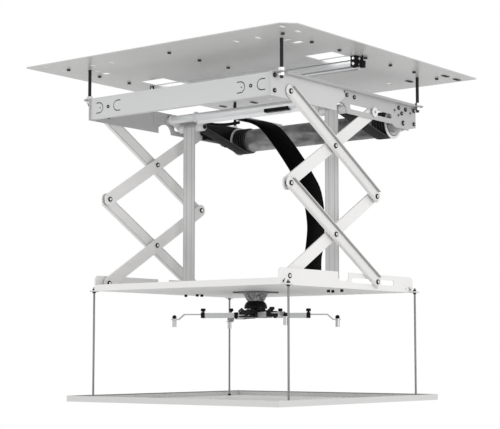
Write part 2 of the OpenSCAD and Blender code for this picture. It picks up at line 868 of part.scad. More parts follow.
function wrap_angle(i) = 180 + (run_slope - 90) * i / wrap_steps;
function wrap_point(i, r) = ring_point(roller_back, roller_z, r, wrap_angle(i));
function run_end(r) = wrap_point(wrap_steps, r) + run_length * [cos(run_slope), sin(run_slope)];

module belt_run_outline() {
  polygon(concat([for (i = [0:wrap_steps]) wrap_point(i, run_r)], [run_end(run_r)],
    [run_end(run_r + belt_thick)],
    [for (i = [0:wrap_steps]) wrap_point(wrap_steps - i, run_r + belt_thick)]));
}

module belt_runs() {
  color([0.14, 0.14, 0.15])
  both_sides() yz(belt_in, belt_width) belt_run_outline();
}

module hanging_belt() {
  front = roller_back - run_r - belt_thick;
  low = floor_top + clamp_thick + soft_gap;
  slab(belt_in, belt_in + belt_width, front, front + belt_thick, low, roller_z - soft_gap);
}

module belt_right() {
  color([0.72, 0.72, 0.71]) hanging_belt();
}

module belt_left() {
  color([0.72, 0.72, 0.71]) mirror([1, 0, 0]) hanging_belt();
}

// Cable sleeve, a flat band along its middle line
sleeve_points = concat(sleeve_path, [[sleeve_end_x, floor_top + soft_gap]]);

function path_point(i) = sleeve_points[i];
function path_way(i) = path_point(min(i + 1, len(sleeve_points) - 1)) - path_point(max(i - 1, 0));
function path_side(i, s) = path_point(i) + s * sleeve_thick / 2
  * [-path_way(i)[1], path_way(i)[0]] / norm(path_way(i));

module cable_sleeve() {
  last = len(sleeve_points) - 1;
  color([0.06, 0.06, 0.07])
  xz(sleeve_back - sleeve_width / 2, sleeve_width)
  polygon(concat([for (i = [0:last]) path_side(i, 1)], [for (i = [0:last]) path_side(last - i, -1)]));
}

// Scissor arms
module arm_outline(width) {
  dot(width / 2);
  translate([arm_pitch, 0]) dot(width / 2);
  translate([0, -width / 2]) square([arm_pitch, width]);
}

module arm_holes(turning, crossing, far) {
  dot(pin_r + turning);
  translate([arm_pitch / 2, 0]) dot(pin_r + crossing);
  translate([arm_pitch, 0]) dot(pin_r + far);
}

module at_pivot(y, z, angle) {
  translate([0, y, z]) rotate([angle, 0, 0]) children();
}

module outer_arm(near, crossing, far) {
  yz(outer_web, sheet)
  difference() {
    arm_outline(arm_width);
    arm_holes(near, crossing, far);
  }
  for (edge = [-arm_width / 2, arm_width / 2 - sheet])
    slab(outer_face, outer_face + arm_lip, 0, arm_pitch, edge, edge + sheet);
}

module inner_arm(near, crossing, far) {
  yz(inner_in, inner_arm_thick)
  difference() {
    arm_outline(arm_width);
    arm_holes(near, crossing, far);
  }
}

module head_out(face) {
  translate([face, 0, 0]) rotate([0, 90, 0])
    cylinder(h = pin_head_thick, r = pin_head_r, $fn = round_fn);
}

// A pin through both arm layers with a head at each end
module arm_pin(y, z) {
  at_pivot(y, z, 0) {
    bar_x(head_in, outer_face + play + pin_head_thick, 0, 0, pin_r);
    head_out(outer_face + play);
    bar_x(head_in - play, inner_in - play, 0, 0, pin_head_r);
  }
}

// The bush that keeps the two arm layers apart
module arm_bush(y, z) {
  at_pivot(y, z, 0)
    difference() {
      bar_x(inner_out + play, outer_web - play, 0, 0, bush_r);
      bar_x(inner_out, outer_web, 0, 0, pin_r);
    }
}

module upper_outer_arm() {
  at_pivot(pivot_y, top_z, -arm_angle) outer_arm(pin_clearance, 0, 0);
}

module upper_outer_arm_right() {
  color([0.93, 0.93, 0.91]) upper_outer_arm();
}

module upper_outer_arm_left() {
  color([0.93, 0.93, 0.91]) mirror([1, 0, 0]) upper_outer_arm();
}

module upper_outer_pins() {
  color([0.68, 0.69, 0.7])
  both_sides() {
    arm_pin(cross_y, (top_z + mid_z) / 2);
    arm_bush(cross_y, (top_z + mid_z) / 2);
    arm_pin(back_y, mid_z);
    arm_bush(back_y, mid_z);
  }
}

module upper_inner_arm() {
  at_pivot(back_y, top_z, 180 + arm_angle) inner_arm(0, pin_clearance, 0);
}

module upper_inner_arm_right() {
  color([0.93, 0.93, 0.91]) upper_inner_arm();
}

module upper_inner_arm_left() {
  color([0.93, 0.93, 0.91]) mirror([1, 0, 0]) upper_inner_arm();
}

module upper_inner_pins() {
  color([0.68, 0.69, 0.7])
  both_sides() {
    arm_pin(pivot_y, mid_z);
    arm_bush(pivot_y, mid_z);
    at_pivot(back_y, top_z, 0) {
      bar_x(head_in, plate_out, 0, 0, pin_r);
      bar_x(head_in - play, inner_in - play, 0, 0, pin_head_r);
    }
  }
}

// A slot roller: its body runs in the slot and its rim bears on the sheet's outer face
module slot_roller(x0, x1, rim0, rim1) {
  difference() {
    union() {
      bar_x(x0, x1, 0, 0, slot_height / 2 - slot_clearance);
      bar_x(rim0, rim1, 0, 0, slot_height * 0.63);
    }
    bar_x(min(x0, rim0) - over, max(x1, rim1) + over, 0, 0, pin_r);
  }
}

module upper_slot_rollers() {
  color([0.95, 0.95, 0.94])
  both_sides()
    at_pivot(back_y, top_z, 0)
      slot_roller(inner_out + play, plate_in + play, plate_in + play, plate_out - play);
}

module lower_inner_arm() {
  at_pivot(back_y, mid_z, 180 + arm_angle) inner_arm(pin_clearance, 0, pin_clearance);
}

module lower_inner_arm_right() {
  color([0.93, 0.93, 0.91]) lower_inner_arm();
}

module lower_inner_arm_left() {
  color([0.93, 0.93, 0.91]) mirror([1, 0, 0]) lower_inner_arm();
}

module lower_inner_pins() {
  color([0.68, 0.69, 0.7])
  both_sides() {
    arm_pin(cross_y, (mid_z + low_z) / 2);
    arm_bush(cross_y, (mid_z + low_z) / 2);
  }
}

module lower_outer_arm() {
  at_pivot(pivot_y, mid_z, -arm_angle) outer_arm(pin_clearance, pin_clearance, 0);
}

module lower_outer_arm_right() {
  color([0.93, 0.93, 0.91]) lower_outer_arm();
}

module lower_outer_arm_left() {
  color([0.93, 0.93, 0.91]) mirror([1, 0, 0]) lower_outer_arm();
}

module lower_outer_pins() {
  color([0.68, 0.69, 0.7])
  both_sides()
    at_pivot(back_y, low_z, 0) {
      bar_x(rear_in, outer_face + pin_head_thick, 0, 0, pin_r);
      head_out(outer_face);
    }
}

module lower_slot_rollers() {
  color([0.95, 0.95, 0.94])
  both_sides()
    at_pivot(back_y, low_z, 0)
      slot_roller(plate_in - play, outer_web - play, rear_in + play, plate_in - play);
}

// Fixed pivots
module top_pivot_pins() {
  color([0.68, 0.69, 0.7])
  both_sides()
    at_pivot(pivot_y, top_z, 0) {
      bar_x(rear_in, outer_face + play + pin_head_thick, 0, 0, pin_r);
      head_out(outer_face + play);
      bar_x(rear_in, plate_in, 0, 0, pin_head_r);
      bar_x(plate_out, outer_web - play, 0, 0, bush_r);
    }
}

module bottom_pivot_pins() {
  color([0.68, 0.69, 0.7])
  both_sides()
    at_pivot(pivot_y, low_z, 0) {
      bar_x(head_in, plate_out, 0, 0, pin_r);
      bar_x(head_in - play, inner_in - play, 0, 0, pin_head_r);
      bar_x(inner_out + play, plate_in, 0, 0, bush_r);
      bar_x(plate_out, plate_out + pin_head_thick / 2, 0, 0, pin_head_r);
    }
}

// Platform
module at_bolts() {
  step = belt_width / 2;
  places = [[belt_centre + step, roller_back], [belt_centre - step, roller_back],
    [belt_centre - step, roller_back + clamp_depth]];
  both_sides()
    for (place = places)
      translate([place[0], place[1], 0]) children();
}

module platform_tray() {
  half = platform_side / 2;
  color([0.86, 0.87, 0.88]) {
    translate([0, 0, floor_low])
    linear_extrude(sheet)
    difference() {
      union() {
        square(platform_side, center = true);
        for (sx = [-1, 1])
          for (sy = [-1, 1])
            translate([sx * (half + tab_length / 2), sy * drop_y])
              square([tab_length, tab_width], center = true);
      }
      for (sx = [-1, 1])
        for (sy = [-1, 1])
          translate([sx * rod_x, sy * drop_y]) dot(drop_r);
      at_bolts() dot(drop_r);
    }
    slab(-plate_in, plate_in, -half, -half + sheet, floor_top, floor_low + platform_flange);
    slab(-plate_in, plate_in, half - sheet, half, floor_top, floor_low + platform_flange);
  }
}

module bracket_outline() {
  half = platform_side / 2;
  high = floor_top + bracket_height;
  corner = bracket_corner_r;
  notch_mid = -(lower_notch_front + lower_notch_back) / 2;
  notch_wide = lower_notch_front - lower_notch_back;
  round_r = lower_notch_depth * 0.4;
  difference() {
    union() {
      translate([-half, floor_top]) square([platform_side, bracket_height - corner]);
      translate([-half + corner, floor_top]) square([platform_side - 2 * corner, bracket_height]);
      translate([-half + corner, high - corner]) dot(corner);
      translate([half - corner, high - corner]) dot(corner);
    }
    translate([slot_start + slot_length / 2, low_z]) stadium(slot_length, slot_height);
    translate([pivot_y, low_z]) dot(pin_r);
    translate([notch_mid - notch_wide / 2, high - lower_notch_depth + round_r])
      square([notch_wide, lower_notch_depth]);
    translate([notch_mid - notch_wide / 2 + round_r, high - lower_notch_depth])
      square([notch_wide - 2 * round_r, lower_notch_depth]);
    for (side = [-1, 1])
      translate([notch_mid + side * (notch_wide / 2 - round_r), high - lower_notch_depth + round_r])
        dot(round_r);
    translate([-half * 0.885, floor_top + lower_pivot_rise / 3]) dot(open_hole_r);
    translate([half * 0.885, floor_top + lower_pivot_rise / 3]) dot(open_hole_r);
  }
}

module platform_bracket() {
  yz(plate_in, sheet) bracket_outline();
  slab(plate_in - bracket_foot, plate_in, -platform_side / 2 + 2 * sheet, platform_side / 2 - 2 * sheet,
    floor_top, floor_top + sheet);
}

module platform_bracket_right() {
  color([0.87, 0.88, 0.89]) platform_bracket();
}

module platform_bracket_left() {
  color([0.87, 0.88, 0.89]) mirror([1, 0, 0]) platform_bracket();
}

// Belt clamps on the platform's floor, in front of and behind the belt's fold
module belt_clamps() {
  color([0.8, 0.81, 0.82])
  difference() {
    both_sides()
      slab(belt_centre - clamp_length / 2, belt_centre + clamp_length / 2,
        roller_back - run_r - belt_thick / 2 - clamp_depth / 2,
        roller_back - run_r + 2 * clamp_depth, floor_top, floor_top + clamp_thick);
    at_bolts() bar_z(0, 0, floor_top - over, floor_top + clamp_thick + over, drop_r);
  }
}

// Bolts through the clamps and the floor, with the head below and the nut on top
module anchor_bolts() {
  nut_low = floor_top + clamp_thick;
  color([0.15, 0.15, 0.16])
  at_bolts() {
    nut_z(0, 0, nut_low, drop_nut_flats, drop_nut_thick);
    bar_z(0, 0, floor_low - drop_nut_thick, nut_low + 2 * drop_nut_thick, drop_r);
    bar_z(0, 0, floor_low - 3 * drop_nut_thick / 2, floor_low, 3 * drop_r / 2);
  }
}

// Drop rods and bottom tray
module drop_rods() {
  color([0.5, 0.5, 0.51])
  for (sx = [-1, 1])
    for (sy = [-1, 1])
      bar_z(sx * rod_x, sy * drop_y, tray_low, floor_top + 2 * drop_nut_thick, drop_r);
}

module drop_nut(z) {
  for (sx = [-1, 1])
    for (sy = [-1, 1])
      difference() {
        nut_z(sx * rod_x, sy * drop_y, z, drop_nut_flats, drop_nut_thick);
        bar_z(sx * rod_x, sy * drop_y, z - over, z + drop_nut_thick + over, drop_r);
      }
}

module drop_nuts() {
  color([0.85, 0.85, 0.86]) {
    drop_nut(floor_top);
    drop_nut(floor_low - drop_nut_thick);
    drop_nut(tray_low + sheet);
  }
}

module bottom_tray() {
  color([0.85, 0.86, 0.87])
  difference() {
    slab(-tray_width / 2, tray_width / 2, -tray_depth / 2, tray_depth / 2, tray_low, tray_low + tray_rim);
    slab(-tray_width / 2 + sheet, tray_width / 2 - sheet, -tray_depth / 2 + sheet, tray_depth / 2 - sheet,
      tray_low + sheet, tray_low + tray_rim + over);
    for (sx = [-1, 1])
      for (sy = [-1, 1])
        bar_z(sx * rod_x, sy * drop_y, tray_low - over, tray_low + sheet + over, drop_r);
  }
}

// Projector bracket
plate_low = floor_low - foot_plate_thick;
cone_low = plate_low - cone_height;
cover_low = cone_low - cover_height;
ball_z = cover_low + ball_r * 0.75;
hub_high = cover_low - hub_gap;
tongue_high = hub_high - hub_top_height;
tongue_low = tongue_high - tongue_thick - 2 * play;
hub_low = tongue_low - hub_low_thick;
reach_z = (tongue_high + tongue_low) / 2;
reach_top = reach_z + reach_height / 2;
bar_z0 = reach_top - reach_wall - play - foot_bar_thick;
eye_r = 4 * stud_r;

module bracket_cone() {
  half = foot_plate_side / 2;
  slot = foot_plate_side / 5;
  color([0.62, 0.63, 0.64]) {
    translate([0, 0, plate_low])
    linear_extrude(foot_plate_thick)
    difference() {
      square(foot_plate_side, center = true);
      for (turn = [45, 135, 225, 315])
        rotate(turn) translate([half * 1.16, 0]) stadium(slot, slot / 3);
    }
    difference() {
      translate([0, 0, cone_low])
        cylinder(h = cone_height, r1 = cone_low_r, r2 = cone_top_r, $fn = round_fn);
      translate([0, 0, ball_z]) sphere(r = ball_r + pin_clearance, $fn = round_fn);
    }
  }
}

module ball_cover() {
  color([0.06, 0.06, 0.07])
  difference() {
    translate([0, 0, cover_low])
      cylinder(h = cover_height - play, r1 = cover_low_r, r2 = cover_top_r, $fn = round_fn);
    translate([0, 0, ball_z]) sphere(r = ball_r + pin_clearance, $fn = round_fn);
    translate([0, 0, cover_low - over])
      cylinder(h = over + ball_z - cover_low, r1 = neck_r * 1.75, r2 = neck_r * 1.3, $fn = round_fn);
  }
}

function swing_x(turn) = swing_r * cos(turn);
function swing_y(turn) = swing_r * sin(turn);
turns = [arm_spread, -arm_spread, 180 - arm_spread, 180 + arm_spread];

module bracket_hub() {
  color([0.06, 0.06, 0.07])
  difference() {
    union() {
      translate([0, 0, ball_z]) sphere(r = ball_r, $fn = round_fn);
      bar_z(0, 0, hub_high, ball_z, neck_r);
      bar_z(0, 0, tongue_high, hub_high, hub_r);
      bar_z(0, 0, hub_low, tongue_high, hub_r / 4);
      bar_z(0, 0, hub_low, tongue_low, hub_r);
      for (turn = turns)
        bar_z(swing_x(turn), swing_y(turn), tongue_low, tongue_high, pin_r);
    }
    difference() {
      bar_z(0, 0, hub_high - hub_low_thick, hub_high + play, hub_r + over);
      bar_z(0, 0, hub_high - hub_low_thick - over, hub_high + over, hub_r * 0.94);
    }
  }
}

// An arm of the bracket, drawn along +X and then turned
module reach_arm() {
  tongue_w = reach_width * 0.75;
  difference() {
    union() {
      translate([0, 0, tongue_low + play])
      linear_extrude(tongue_thick) {
        translate([swing_r, 0]) dot(tongue_w / 2);
        translate([swing_r, -tongue_w / 2]) square([reach_start + reach_wall - swing_r, tongue_w]);
      }
    }
    bar_z(swing_r, 0, tongue_low - over, tongue_high + over, pin_r + pin_clearance);
  }
  difference() {
    slab(reach_start, reach_end, -reach_width / 2, reach_width / 2, reach_top - reach_height, reach_top);
    slab(reach_start + reach_wall, reach_end + over, -reach_width / 2 + reach_wall,
      reach_width / 2 - reach_wall, reach_top - reach_height - over, reach_top - reach_wall);
  }
  difference() {
    slab(reach_end, reach_end + end_clamp_length, -reach_width / 2 - reach_wall / 2,
      reach_width / 2 + reach_wall / 2, reach_top - reach_height, reach_top + reach_wall / 2);
    slab(reach_end - over, reach_end + end_clamp_length + over, -foot_bar_width / 2 - play,
      foot_bar_width / 2 + play, bar_z0 - play, bar_z0 + foot_bar_thick + play);
  }
}

module foot_bar(reach) {
  start = reach_start + (reach_end - reach_start) * 0.55;
  bend = reach - 3 * eye_r / 2;
  ramp = foot_step * 1.1;
  knob_z = bar_z0 - foot_step + foot_bar_thick + knob_r * 0.8;
  post_low = bar_z0 - foot_step - post_length;
  translate([0, foot_bar_width / 2, 0]) rotate([90, 0, 0])
  linear_extrude(foot_bar_width)
  polygon([[start, bar_z0], [bend - ramp, bar_z0], [bend, bar_z0 - foot_step],
    [reach, bar_z0 - foot_step], [reach, bar_z0 - foot_step + foot_bar_thick],
    [bend + foot_bar_thick / 2, bar_z0 - foot_step + foot_bar_thick],
    [bend - ramp + foot_bar_thick / 2, bar_z0 + foot_bar_thick], [start, bar_z0 + foot_bar_thick]]);
  bar_z(reach, 0, bar_z0 - foot_step, bar_z0 - foot_step + foot_bar_thick, eye_r);
  difference() {
    bar_z(reach, 0, post_low, bar_z0 - foot_step, post_r);
    bar_z(reach, 0, post_low - over, post_low + post_length / 2, stud_r);
  }
  bar_z(reach, 0, bar_z0 - foot_step, knob_z, stud_r);
  translate([reach, 0, knob_z]) sphere(r = knob_r, $fn = round_fn);
}

module reach_right() {
  color([0.82, 0.83, 0.84]) rotate(arm_spread) reach_arm();
}

module reach_near() {
  color([0.82, 0.83, 0.84]) rotate(-arm_spread) reach_arm();
}

module reach_left() {
  color([0.82, 0.83, 0.84]) rotate(180 + arm_spread) reach_arm();
}

module reach_far() {
  color([0.82, 0.83, 0.84]) rotate(180 - arm_spread) reach_arm();
}

module foot_right() {
  color([0.9, 0.9, 0.9]) rotate(arm_spread) foot_bar(short_reach);
}

module foot_near() {
  color([0.9, 0.9, 0.9]) rotate(-arm_spread) foot_bar(long_reach);
}

module foot_left() {
  color([0.9, 0.9, 0.9]) rotate(180 + arm_spread) foot_bar(short_reach);
}

module foot_far() {
  color([0.9, 0.9, 0.9]) rotate(180 - arm_spread) foot_bar(long_reach);
}

ceiling_plate();
plate_collars();
cross_rail();
rail_fittings();
hanger_rods();
hanger_nuts();
front_channel();
side_plate_right();
side_plate_left();
frame_screws();
cross_tube();
cable_bar();
roller_brackets();
roller_axles();
motor_head();
drum_supports();
belt_runs();
belt_right();
belt_left();
cable_sleeve();
top_pivot_pins();
roller_right();
roller_left();
winding_tube();
spool_flanges();
belt_coils();
upper_outer_arm_right();
upper_outer_arm_left();
upper_outer_pins();
upper_inner_arm_right();
upper_inner_arm_left();
upper_inner_pins();
upper_slot_rollers();
lower_inner_arm_right();
lower_inner_arm_left();
lower_inner_pins();
lower_outer_arm_right();
lower_outer_arm_left();
lower_outer_pins();
lower_slot_rollers();
platform_tray();
platform_bracket_right();
platform_bracket_left();
belt_clamps();
anchor_bolts();
drop_rods();
drop_nuts();
bottom_tray();
bottom_pivot_pins();
bracket_cone();
ball_cover();
bracket_hub();
reach_right();
reach_near();
reach_left();
reach_far();
foot_right();
foot_near();
foot_left();
foot_far();
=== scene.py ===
# %% [markdown]
# # A projector lift under its ceiling plate
# The lift hangs from a square steel plate on four threaded rods. Two belts unwind from a motor tube
# and let a platform down, and a scissor of eight arms keeps it level. The metal parts come from the
# CAD frame with their true sizes. Here they get their finishes, and the soft pieces and small
# fittings are modelled: the webbing belts, the flat cable sleeve, the thumb screws and the caps.

import json
import math

import bmesh
import bpy
from mathutils import Matrix, Vector


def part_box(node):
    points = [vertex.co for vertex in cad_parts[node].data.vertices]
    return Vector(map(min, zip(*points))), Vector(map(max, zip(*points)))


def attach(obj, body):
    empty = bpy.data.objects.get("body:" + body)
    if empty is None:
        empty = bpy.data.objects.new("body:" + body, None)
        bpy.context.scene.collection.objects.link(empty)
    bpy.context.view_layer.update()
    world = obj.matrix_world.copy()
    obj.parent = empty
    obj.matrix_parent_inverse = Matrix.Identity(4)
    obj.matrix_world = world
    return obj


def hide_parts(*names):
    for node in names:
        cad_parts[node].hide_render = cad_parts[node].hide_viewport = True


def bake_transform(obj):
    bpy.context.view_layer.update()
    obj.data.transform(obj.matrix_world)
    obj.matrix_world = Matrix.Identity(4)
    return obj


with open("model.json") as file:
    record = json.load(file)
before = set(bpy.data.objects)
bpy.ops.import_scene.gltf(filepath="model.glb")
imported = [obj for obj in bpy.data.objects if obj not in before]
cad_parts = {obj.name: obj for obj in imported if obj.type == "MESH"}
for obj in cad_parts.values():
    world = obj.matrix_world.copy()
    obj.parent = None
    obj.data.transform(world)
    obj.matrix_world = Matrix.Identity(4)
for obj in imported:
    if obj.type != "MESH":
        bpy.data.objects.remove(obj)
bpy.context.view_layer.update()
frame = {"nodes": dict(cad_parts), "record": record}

# %% [markdown]
# ## Camera
# The photograph was taken from a little below the frame, at its front right corner, with a long lens.
# A long lens keeps the plate's far corner nearly as large as its near one. The place, turn and lens
# below make the scissor's pivots and the plate's corners fall where the photograph shows them.

# %% Place the camera
SENSOR_WIDTH = 36.0
CAMERA_LENS = 102.99
CAMERA_PLACE = (2.1357, -2.7662, -0.6943)
CAMERA_TURN = math.radians(37.9)
CAMERA_LIFT = math.radians(5.59)

camera_data = bpy.data.cameras.new("camera")
camera_data.sensor_width = SENSOR_WIDTH
camera_data.lens = CAMERA_LENS
camera_data.clip_end = 60
camera = bpy.data.objects.new("camera", camera_data)
camera.location = CAMERA_PLACE
camera.rotation_euler = (math.pi / 2 + CAMERA_LIFT, 0, CAMERA_TURN)
bpy.context.scene.collection.objects.link(camera)
bpy.context.scene.camera = camera
print("camera at", CAMERA_PLACE, "with a", CAMERA_LENS, "mm lens")

# %% [markdown]
# ## Shader maths
# A finish is a small graph of shader nodes. Written out by hand, each sum takes four lines, so a
# Signal stands for a number on its way through the graph: adding or multiplying signals adds the
# Math nodes. Every other node comes from one method of Finish, which sets the node's options first
# and then feeds its sockets.

# %% Signals and finishes
class Signal:
    """A number that varies over a surface."""

    def __init__(self, finish, socket):
        self.finish = finish
        self.socket = socket

    def join(self, operation, *values):
        node = self.finish.node("ShaderNodeMath", {"operation": operation}, dict(enumerate(values)))
        return Signal(self.finish, node.outputs[0])

    def __add__(self, other):
        return self.join("ADD", self, other)

    def __radd__(self, other):
        return self.join("ADD", other, self)

    def __sub__(self, other):
        return self.join("SUBTRACT", self, other)

    def __rsub__(self, other):
        return self.join("SUBTRACT", other, self)

    def __mul__(self, other):
        return self.join("MULTIPLY", self, other)

    def __rmul__(self, other):
        return self.join("MULTIPLY", other, self)

    def __truediv__(self, other):
        return self.join("DIVIDE", self, other)

    def __gt__(self, other):
        return self.join("GREATER_THAN", self, other)

    def __lt__(self, other):
        return self.join("LESS_THAN", self, other)

    def size(self):
        return self.join("ABSOLUTE", self)

    def wave(self):
        return self.join("SINE", self)

    def ramp(self, low, high):
        """0 below low, 1 above high, smooth between."""
        settings = {"interpolation_type": "SMOOTHSTEP", "clamp": True}
        node = self.finish.node("ShaderNodeMapRange", settings, {0: self, 1: low, 2: high})
        return Signal(self.finish, node.outputs[0])


class Finish:
    """A material that is built up from a base colour, a roughness and layers."""

    def __init__(self, name, roughness, metallic=0.0, **constants):
        self.material = bpy.data.materials.new(name)
        self.material.use_nodes = True
        self.tree = self.material.node_tree
        self.tree.nodes.clear()
        sockets = {"Roughness": roughness, "Metallic": metallic, **constants}
        self.shader = self.node("ShaderNodeBsdfPrincipled", {}, sockets)
        self.node("ShaderNodeOutputMaterial", {}, {"Surface": self.shader.outputs[0]})
        coordinates = self.node("ShaderNodeTexCoord", {}, {})
        self.place = coordinates.outputs["Object"]
        split = self.node("ShaderNodeSeparateXYZ", {}, {0: self.place})
        self.x = Signal(self, split.outputs[0])
        self.y = Signal(self, split.outputs[1])
        self.z = Signal(self, split.outputs[2])

    def route(self):
        """Distances across and along a swept band, from its own UV map."""
        chart = self.node("ShaderNodeUVMap", {"uv_map": "route"}, {})
        split = self.node("ShaderNodeSeparateXYZ", {}, {0: chart.outputs[0]})
        return Signal(self, split.outputs[0]), Signal(self, split.outputs[1])

    def feed(self, socket, value):
        if isinstance(value, Signal):
            value = value.socket
        if isinstance(value, bpy.types.NodeSocket):
            self.tree.links.new(value, socket)
        else:
            socket.default_value = value

    def node(self, kind, settings, sockets):
        node = self.tree.nodes.new(kind)
        for name, value in settings.items():
            if name == "stops":
                for index, (position, colour) in enumerate(value):
                    while len(node.color_ramp.elements) <= index:
                        node.color_ramp.elements.new(position)
                    node.color_ramp.elements[index].position = position
                    node.color_ramp.elements[index].color = colour
            else:
                setattr(node, name, value)
        for name, value in sockets.items():
            self.feed(node.inputs[name], value)
        return node

    def noise(self, scale, detail=2.0, stretch=(1, 1, 1)):
        mapping = self.node("ShaderNodeMapping", {}, {"Vector": self.place, "Scale": stretch})
        sockets = {"Vector": mapping.outputs[0], "Scale": scale, "Detail": detail}
        return Signal(self, self.node("ShaderNodeTexNoise", {}, sockets).outputs["Fac"])

    def mix(self, mask, first, second):
        node = self.node("ShaderNodeMix", {"data_type": "RGBA"}, {0: mask, 6: first, 7: second})
        return node.outputs[2]

    def colour(self, value):
        self.feed(self.shader.inputs["Base Color"], value)

    def roughness(self, value):
        self.feed(self.shader.inputs["Roughness"], value)

    def relief(self, height, depth, strength=1.0):
        node = self.node("ShaderNodeBump", {}, {"Height": height, "Distance": depth, "Strength": strength})
        self.feed(self.shader.inputs["Normal"], node.outputs[0])


def grey(level, warmth=0.0):
    """A nearly grey colour. Positive warmth turns it to cream, negative to steel blue."""
    return (level * (1 + warmth), level, level * (1 - warmth), 1)


print("shader helpers ready")

# %% [markdown]
# ## Painted sheet metal
# The frame, platform and tray are bent sheet with a light grey powder coat. Powder coat melts into a
# skin with a faint orange peel, so its shine breaks up a little. Two scales of noise do this: a broad
# one moves the tone and the shine slightly, and a fine one gives the peel. On the side plates the
# flange's faces and its lip are painted darker, as painted shade along the flange, so these read as
# darker lines. Their rear sheet lies behind the front one, and it and the faces inside it are painted
# darker too, as painted shade.

# %% Powder coats
def powder_coat(name, level, warmth, roughness, gloss=0.45, painted_flange_shade=False, rim_shade=None):
    finish = Finish(name, roughness, **{"Specular IOR Level": gloss})
    cloud = finish.noise(2.3, 3)
    speck = finish.noise(650, 2)
    shade = (cloud * 0.7 + speck * 0.3).ramp(0.3, 0.7)
    base = finish.mix(shade, grey(level * 0.965, warmth), grey(level * 1.02, warmth))
    # Painted shade: the rear sheet and the faces inside it, the flange and, darkest, its lip.
    if painted_flange_shade:
        out = finish.x.size()
        base = finish.mix((out < REAR_FACE) * 0.9, base, grey(level * 0.76))
        base = finish.mix((out > FLANGE_BEND) * (out < LIP_FACE) * 0.8, base, grey(level * 0.62))
        base = finish.mix((out > LIP_FACE) * 0.9, base, grey(level * 0.34))
    # Painted shade: a dark band on the inside of the tray's rim, just below its top.
    if rim_shade:
        inside = (finish.x.size() < rim_shade[0]) * (finish.y.size() < rim_shade[1]) * (finish.z > rim_shade[2])
        base = finish.mix(inside * 0.8, base, grey(level * 0.25))
    finish.colour(base)
    finish.roughness(roughness - 0.05 + cloud * 0.1)
    finish.relief(finish.noise(420, 2), PEEL_DEPTH, 0.35)
    return finish.material


def channel_coat(name, level, middle_y, middle_z):
    """Arm coat with a dark line along both edges, painted shade where the channel is folded."""
    finish = Finish(name, 0.45, **{"Specular IOR Level": 0.45})
    cloud = finish.noise(2.3, 3)
    speck = finish.noise(650, 2)
    base = finish.mix((cloud * 0.7 + speck * 0.3).ramp(0.3, 0.7), grey(level * 0.965, 0.008), grey(level * 1.02, 0.008))
    # Painted shade: a dark line along each folded edge of the channel.
    off_middle = ((finish.y - middle_y) * ARM_FALL[0] + (finish.z - middle_z) * ARM_FALL[1]).size()
    fold_shade = (off_middle > ARM_EDGE) * (off_middle < ARM_EDGE + 0.0016)
    finish.colour(finish.mix(fold_shade * 0.75, base, grey(level * 0.3)))
    finish.roughness(0.4 + cloud * 0.1)
    finish.relief(finish.noise(420, 2), PEEL_DEPTH, 0.35)
    return finish.material


PEEL_DEPTH = 0.00012
ARM_FALL = (0.5075, 0.8616)
ARM_EDGE = 0.0120
ARM_FRONT = -0.2365
UPPER_START = -0.112
LOWER_START = -0.31705
REAR_FACE = 0.2756
FLANGE_BEND = 0.2795
LIP_FACE = 0.3045
frame_coat = powder_coat("frame powder coat", 0.62, -0.008, 0.42)
side_coat = powder_coat("side plate coat", 0.61, -0.002, 0.42, painted_flange_shade=True)
arm_coat = powder_coat("arm powder coat", 0.8, 0.008, 0.45)
plate_coat = powder_coat("ceiling plate coat", 0.57, 0.008, 0.3)
tray_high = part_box("bottom_tray")[1]
# The tray's rim gets a painted band of shade inside this box.
TRAY_RIM_SHADE = (tray_high.x - 0.0012, tray_high.y - 0.0012, tray_high.z - 0.0026)
tray_coat = powder_coat("bottom tray coat", 0.62, 0.006, 0.42, rim_shade=TRAY_RIM_SHADE)
black_coat = powder_coat("black enamel", 0.006, 0.0, 0.34, gloss=0.12)
upper_channel_coat = channel_coat("upper channel coat", 0.8, ARM_FRONT, UPPER_START)
lower_channel_coat = channel_coat("lower channel coat", 0.8, ARM_FRONT, LOWER_START)
print("powder coats:", 8)

# %% [markdown]
# ## Bare metals
# Drawn aluminium shows fine lines along its length. A noise that is stretched a hundred times along
# one axis gives such lines for the shine and the relief. Plated nuts are brighter, with soft patches.

# %% Bare metals
def drawn_metal(name, level, roughness, stretch, metallic=1.0):
    finish = Finish(name, roughness, metallic)
    lines = finish.noise(900, 2, stretch)
    cloud = finish.noise(4, 2)
    finish.colour(finish.mix(lines, grey(level * 0.9, -0.01), grey(level, -0.01)))
    finish.roughness(roughness - 0.06 + lines * 0.1 + cloud * 0.04)
    finish.relief(lines, 0.00005, 0.4)
    return finish.material


def plated_metal(name, level, roughness, metallic=1.0, gloss=0.5):
    finish = Finish(name, roughness, metallic, **{"Specular IOR Level": gloss})
    patch = finish.noise(160, 3)
    finish.colour(finish.mix(patch, grey(level * 0.88, -0.01), grey(level * 1.04, 0.0)))
    finish.roughness(roughness - 0.05 + patch * 0.12)
    finish.relief(finish.noise(700, 1), 0.00004, 0.3)
    return finish.material


rail_metal = drawn_metal("rail aluminium", 0.72, 0.28, (0.01, 1, 1))
tube_metal = drawn_metal("cross tube aluminium", 0.93, 0.34, (0.01, 1, 1), 0.5)
bar_metal = drawn_metal("light bar", 0.6, 0.45, (1, 0.01, 1), 0.3)
reach_metal = drawn_metal("bracket arm aluminium", 0.55, 0.34, (0.2, 0.2, 1), 0.8)
foot_metal = plated_metal("foot bar steel", 0.45, 0.34)
zinc_metal = plated_metal("zinc plate", 0.5, 0.32)
pin_metal = plated_metal("blackened steel", 0.014, 0.36, 0.2, 0.15)
cap_metal = plated_metal("cap steel", 0.9, 0.24)
bright_metal = plated_metal("bright nuts", 0.42, 0.18)
print("bare metals:", 9)
